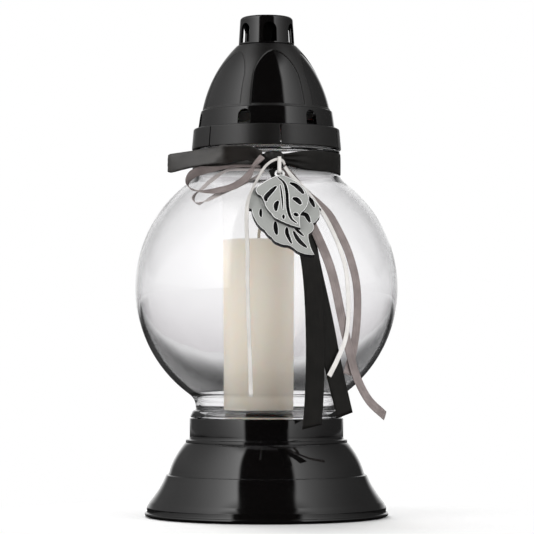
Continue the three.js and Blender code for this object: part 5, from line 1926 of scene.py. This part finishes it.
        piece = finished(
            shape, "leaf_loop", Body.LOOP, [WHITE_RIBBON], ["pendant_loop"], sharp=75
        )
        cloth = piece.modifiers.new("cloth", "SOLIDIFY")
        cloth.thickness = 0.3 * MM
        cloth.offset = 0.0
        return piece

    def make(self) -> list[bpy.types.Object]:
        """Make the loop and the leaf."""
        return [self.make_loop(), self.make_leaf()]


# Studio


@dataclass
class Studio:
    """A plain pale floor, soft light and the camera at the photograph's place."""

    distance: float = 1.608
    eye_height: float = 0.1075
    pitch: float = 2.1
    lens: float = 161.8
    ambient: float = 0.56

    def make_camera(self) -> None:
        """Set the camera."""
        camera = bpy.data.cameras.new("camera")
        camera.lens = self.lens
        camera.sensor_width = 36
        camera.clip_start = 0.05
        eye = bpy.data.objects.new("camera", camera)
        eye.location = (0.00034, -self.distance, self.eye_height)
        eye.rotation_euler = (math.radians(90 + self.pitch), 0, 0)
        bpy.context.scene.collection.objects.link(eye)
        bpy.context.scene.camera = eye

    def make_floor(self) -> None:
        """Lay a pale floor that keeps the lamp's shadow."""
        shape = bmesh.new()
        bmesh.ops.create_grid(shape, x_segments=4, y_segments=4, size=6.0)
        mesh = bpy.data.meshes.new("floor")
        shape.to_mesh(mesh)
        shape.free()
        floor = bpy.data.objects.new("floor", mesh)
        floor.location.z = -0.0002
        bpy.context.scene.collection.objects.link(floor)
        paint = bpy.data.materials.new("floor_paint")
        paint.use_nodes = True
        bench = Bench(paint.node_tree)
        seen, gloss, through = self.paths(bench)
        here = bench.place()
        away = bench.add("ShaderNodeVectorMath", {"operation": "LENGTH"}, {0: here}, "Value")
        x, y = (bench.add("ShaderNodeSeparateXYZ", feeds={0: here}, output=k) for k in range(2))
        beside = (x.maths("ABSOLUTE", x) - 1.2 * y).step(0.0, 0.25)
        clear = 1 - (1 - y.step(1.4, 5.0)) * (1 - beside)
        far = away.step(0.12, 0.21) * seen
        bright = seen * (0.03 + 0.97 * far) + through * 0.85 * clear + gloss * 0.3 * y.step(1.0, 3.8)
        dull = 0.73 * (1 - far) * (1 - 0.97 * gloss) * (1 - 0.95 * through)
        grey = bench.add("ShaderNodeCombineXYZ", feeds={0: dull, 1: dull, 2: dull})
        matt = bench.add("ShaderNodeBsdfDiffuse", feeds={"Color": grey})
        glow = bench.add("ShaderNodeEmission", feeds={"Color": (1.0, 1.0, 1.0), "Strength": bright})
        bench.finish(bench.add("ShaderNodeAddShader", feeds={0: matt, 1: glow}))
        mesh.materials.append(paint)

    @staticmethod
    def paths(bench: Bench) -> tuple[Wire, Wire, Wire]:
        """Tell camera rays, mirrored rays and rays through glass apart."""
        seen, shiny, through = (
            bench.add("ShaderNodeLightPath", output=name)
            for name in ("Is Camera Ray", "Is Glossy Ray", "Is Transmission Ray")
        )
        return seen, shiny * (1 - through), through

    @staticmethod
    def panel(bearing: Wire, sharp: float, edge: float, radiance: float, fade: float) -> Wire:
        """Paint a tall panel that is brightest at its inner edge.

        Args:
            bearing: The bearing from the front towards the panel's side, in radians.
            sharp: The bearing of its inner edge, in degrees.
            edge: How soft that edge is, in degrees.
            radiance: How bright it is there.
            fade: How fast it fades outwards.

        Returns:
            The radiance.
        """
        start, full = math.radians(sharp), math.radians(sharp + edge)
        fall = ((bearing - full) * -fade).maths("EXPONENT", (bearing - full) * -fade)
        return bearing.step(start, full) * (radiance * fall)

    def make_world(self) -> None:
        """Surround the lamp with a white wall behind, a panel at each side and a dark room in front."""
        world = bpy.data.worlds.new("studio")
        bpy.context.scene.world = world
        world.use_nodes = True
        bench = Bench(world.node_tree)
        seen, gloss, through = self.paths(bench)
        way = bench.place("Generated")
        x, y, z = (bench.add("ShaderNodeSeparateXYZ", feeds={0: way}, output=k) for k in range(3))
        turn = x.maths("ARCTAN2", x, y * -1)
        aside = turn.maths("ABSOLUTE", turn)
        bearing = x.maths("ARCTAN2", x, 0.3 * z * z - y)
        wall = aside.step(math.radians(150), math.radians(170)) * (1 - z.step(0.35, 0.6))
        panels = self.panel(bearing * -1, 30, 5, 3.9, 1.45) + self.panel(bearing, 30, 6, 2.4, 1.75)
        panels = panels * (0.62 + 0.38 * z.step(0.0, 0.4)) * (1 - 0.94 * z.step(0.86, 0.965))
        mirrored = 0.008 + wall + (1 - wall) * panels
        sweep = 0.64 + 0.42 * z.step(-0.04, 0.04)
        passed = (0.7 + 0.45 * aside.step(math.radians(135), math.radians(160))) * sweep
        hidden = (1 - seen) * (1 - gloss) * (1 - through)
        level = seen + gloss * mirrored + through * passed + hidden * self.ambient
        hue = bench.blend(through * (1.06 - sweep), (1.0, 1.0, 1.0), (1.0, 0.93, 0.97))
        sky = bench.add("ShaderNodeBackground", feeds={"Color": hue, "Strength": level})
        bench.finish(sky, "ShaderNodeOutputWorld")

    @staticmethod
    def make_lamp(name: str, bearing: float, rise: float, size: tuple[float, float], radiance: float,
                  reach: float = 1.0) -> None:
        """Hang a softbox that faces the lamp.

        Args:
            name: Its name.
            bearing: Where it hangs, in degrees from the front towards the right.
            rise: Its height over the lamp's middle, in metres.
            size: Its width and height, in metres.
            radiance: How bright its face is, where 1 is white.
            reach: How far off it hangs, in metres.
        """
        light = bpy.data.lights.new(name, "AREA")
        light.shape = "RECTANGLE"
        light.size, light.size_y = size
        light.energy = radiance * math.pi * size[0] * size[1]
        lamp = bpy.data.objects.new(name, light)
        turn = math.radians(bearing)
        lamp.location = (reach * math.sin(turn), -reach * math.cos(turn), 0.17 + rise)
        aim = Vector((0, 0, 0.17)) - lamp.location
        lamp.rotation_euler = aim.to_track_quat("-Z", "Y").to_euler()
        lamp.visible_camera = False
        lamp.visible_glossy = False
        lamp.visible_transmission = False
        bpy.context.scene.collection.objects.link(lamp)

    def make(self) -> None:
        """Set the camera, the floor, the world and the lamps."""
        self.make_camera()
        self.make_floor()
        self.make_world()
        self.make_lamp("left_softbox", -58, 0.1, (0.62, 1.1), 4.0)
        self.make_lamp("right_softbox", 50, 0.1, (0.66, 1.1), 3.4)
        self.make_lamp("back_softbox", -162, 0.85, (0.6, 0.6), 16.0)
        bpy.context.scene.view_settings.view_transform = "Standard"


def main() -> None:
    """Build the studio and the lamp, piece by piece."""
    logging.basicConfig(level=logging.INFO, format="%(name)s: %(message)s")
    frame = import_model()
    Studio().make()
    for strip_maker in (NeckWrap(),):
        strip_maker.make()
    Foot().make()
    Globe().make()
    cap = Cap()
    cap.make()
    Chimney(cap).make()
    Candle().make()
    Leaf().make()
    for node, wear in (("heat_shield", SOOTED), ("wick_sustainer", TIN)):
        tin = frame["nodes"][node]
        for number in range(len(tin.material_slots)):
            tin.material_slots[number].material = wear.material()
        log.info("%s keeps its solid", node)


if __name__ == "__main__":
    main()
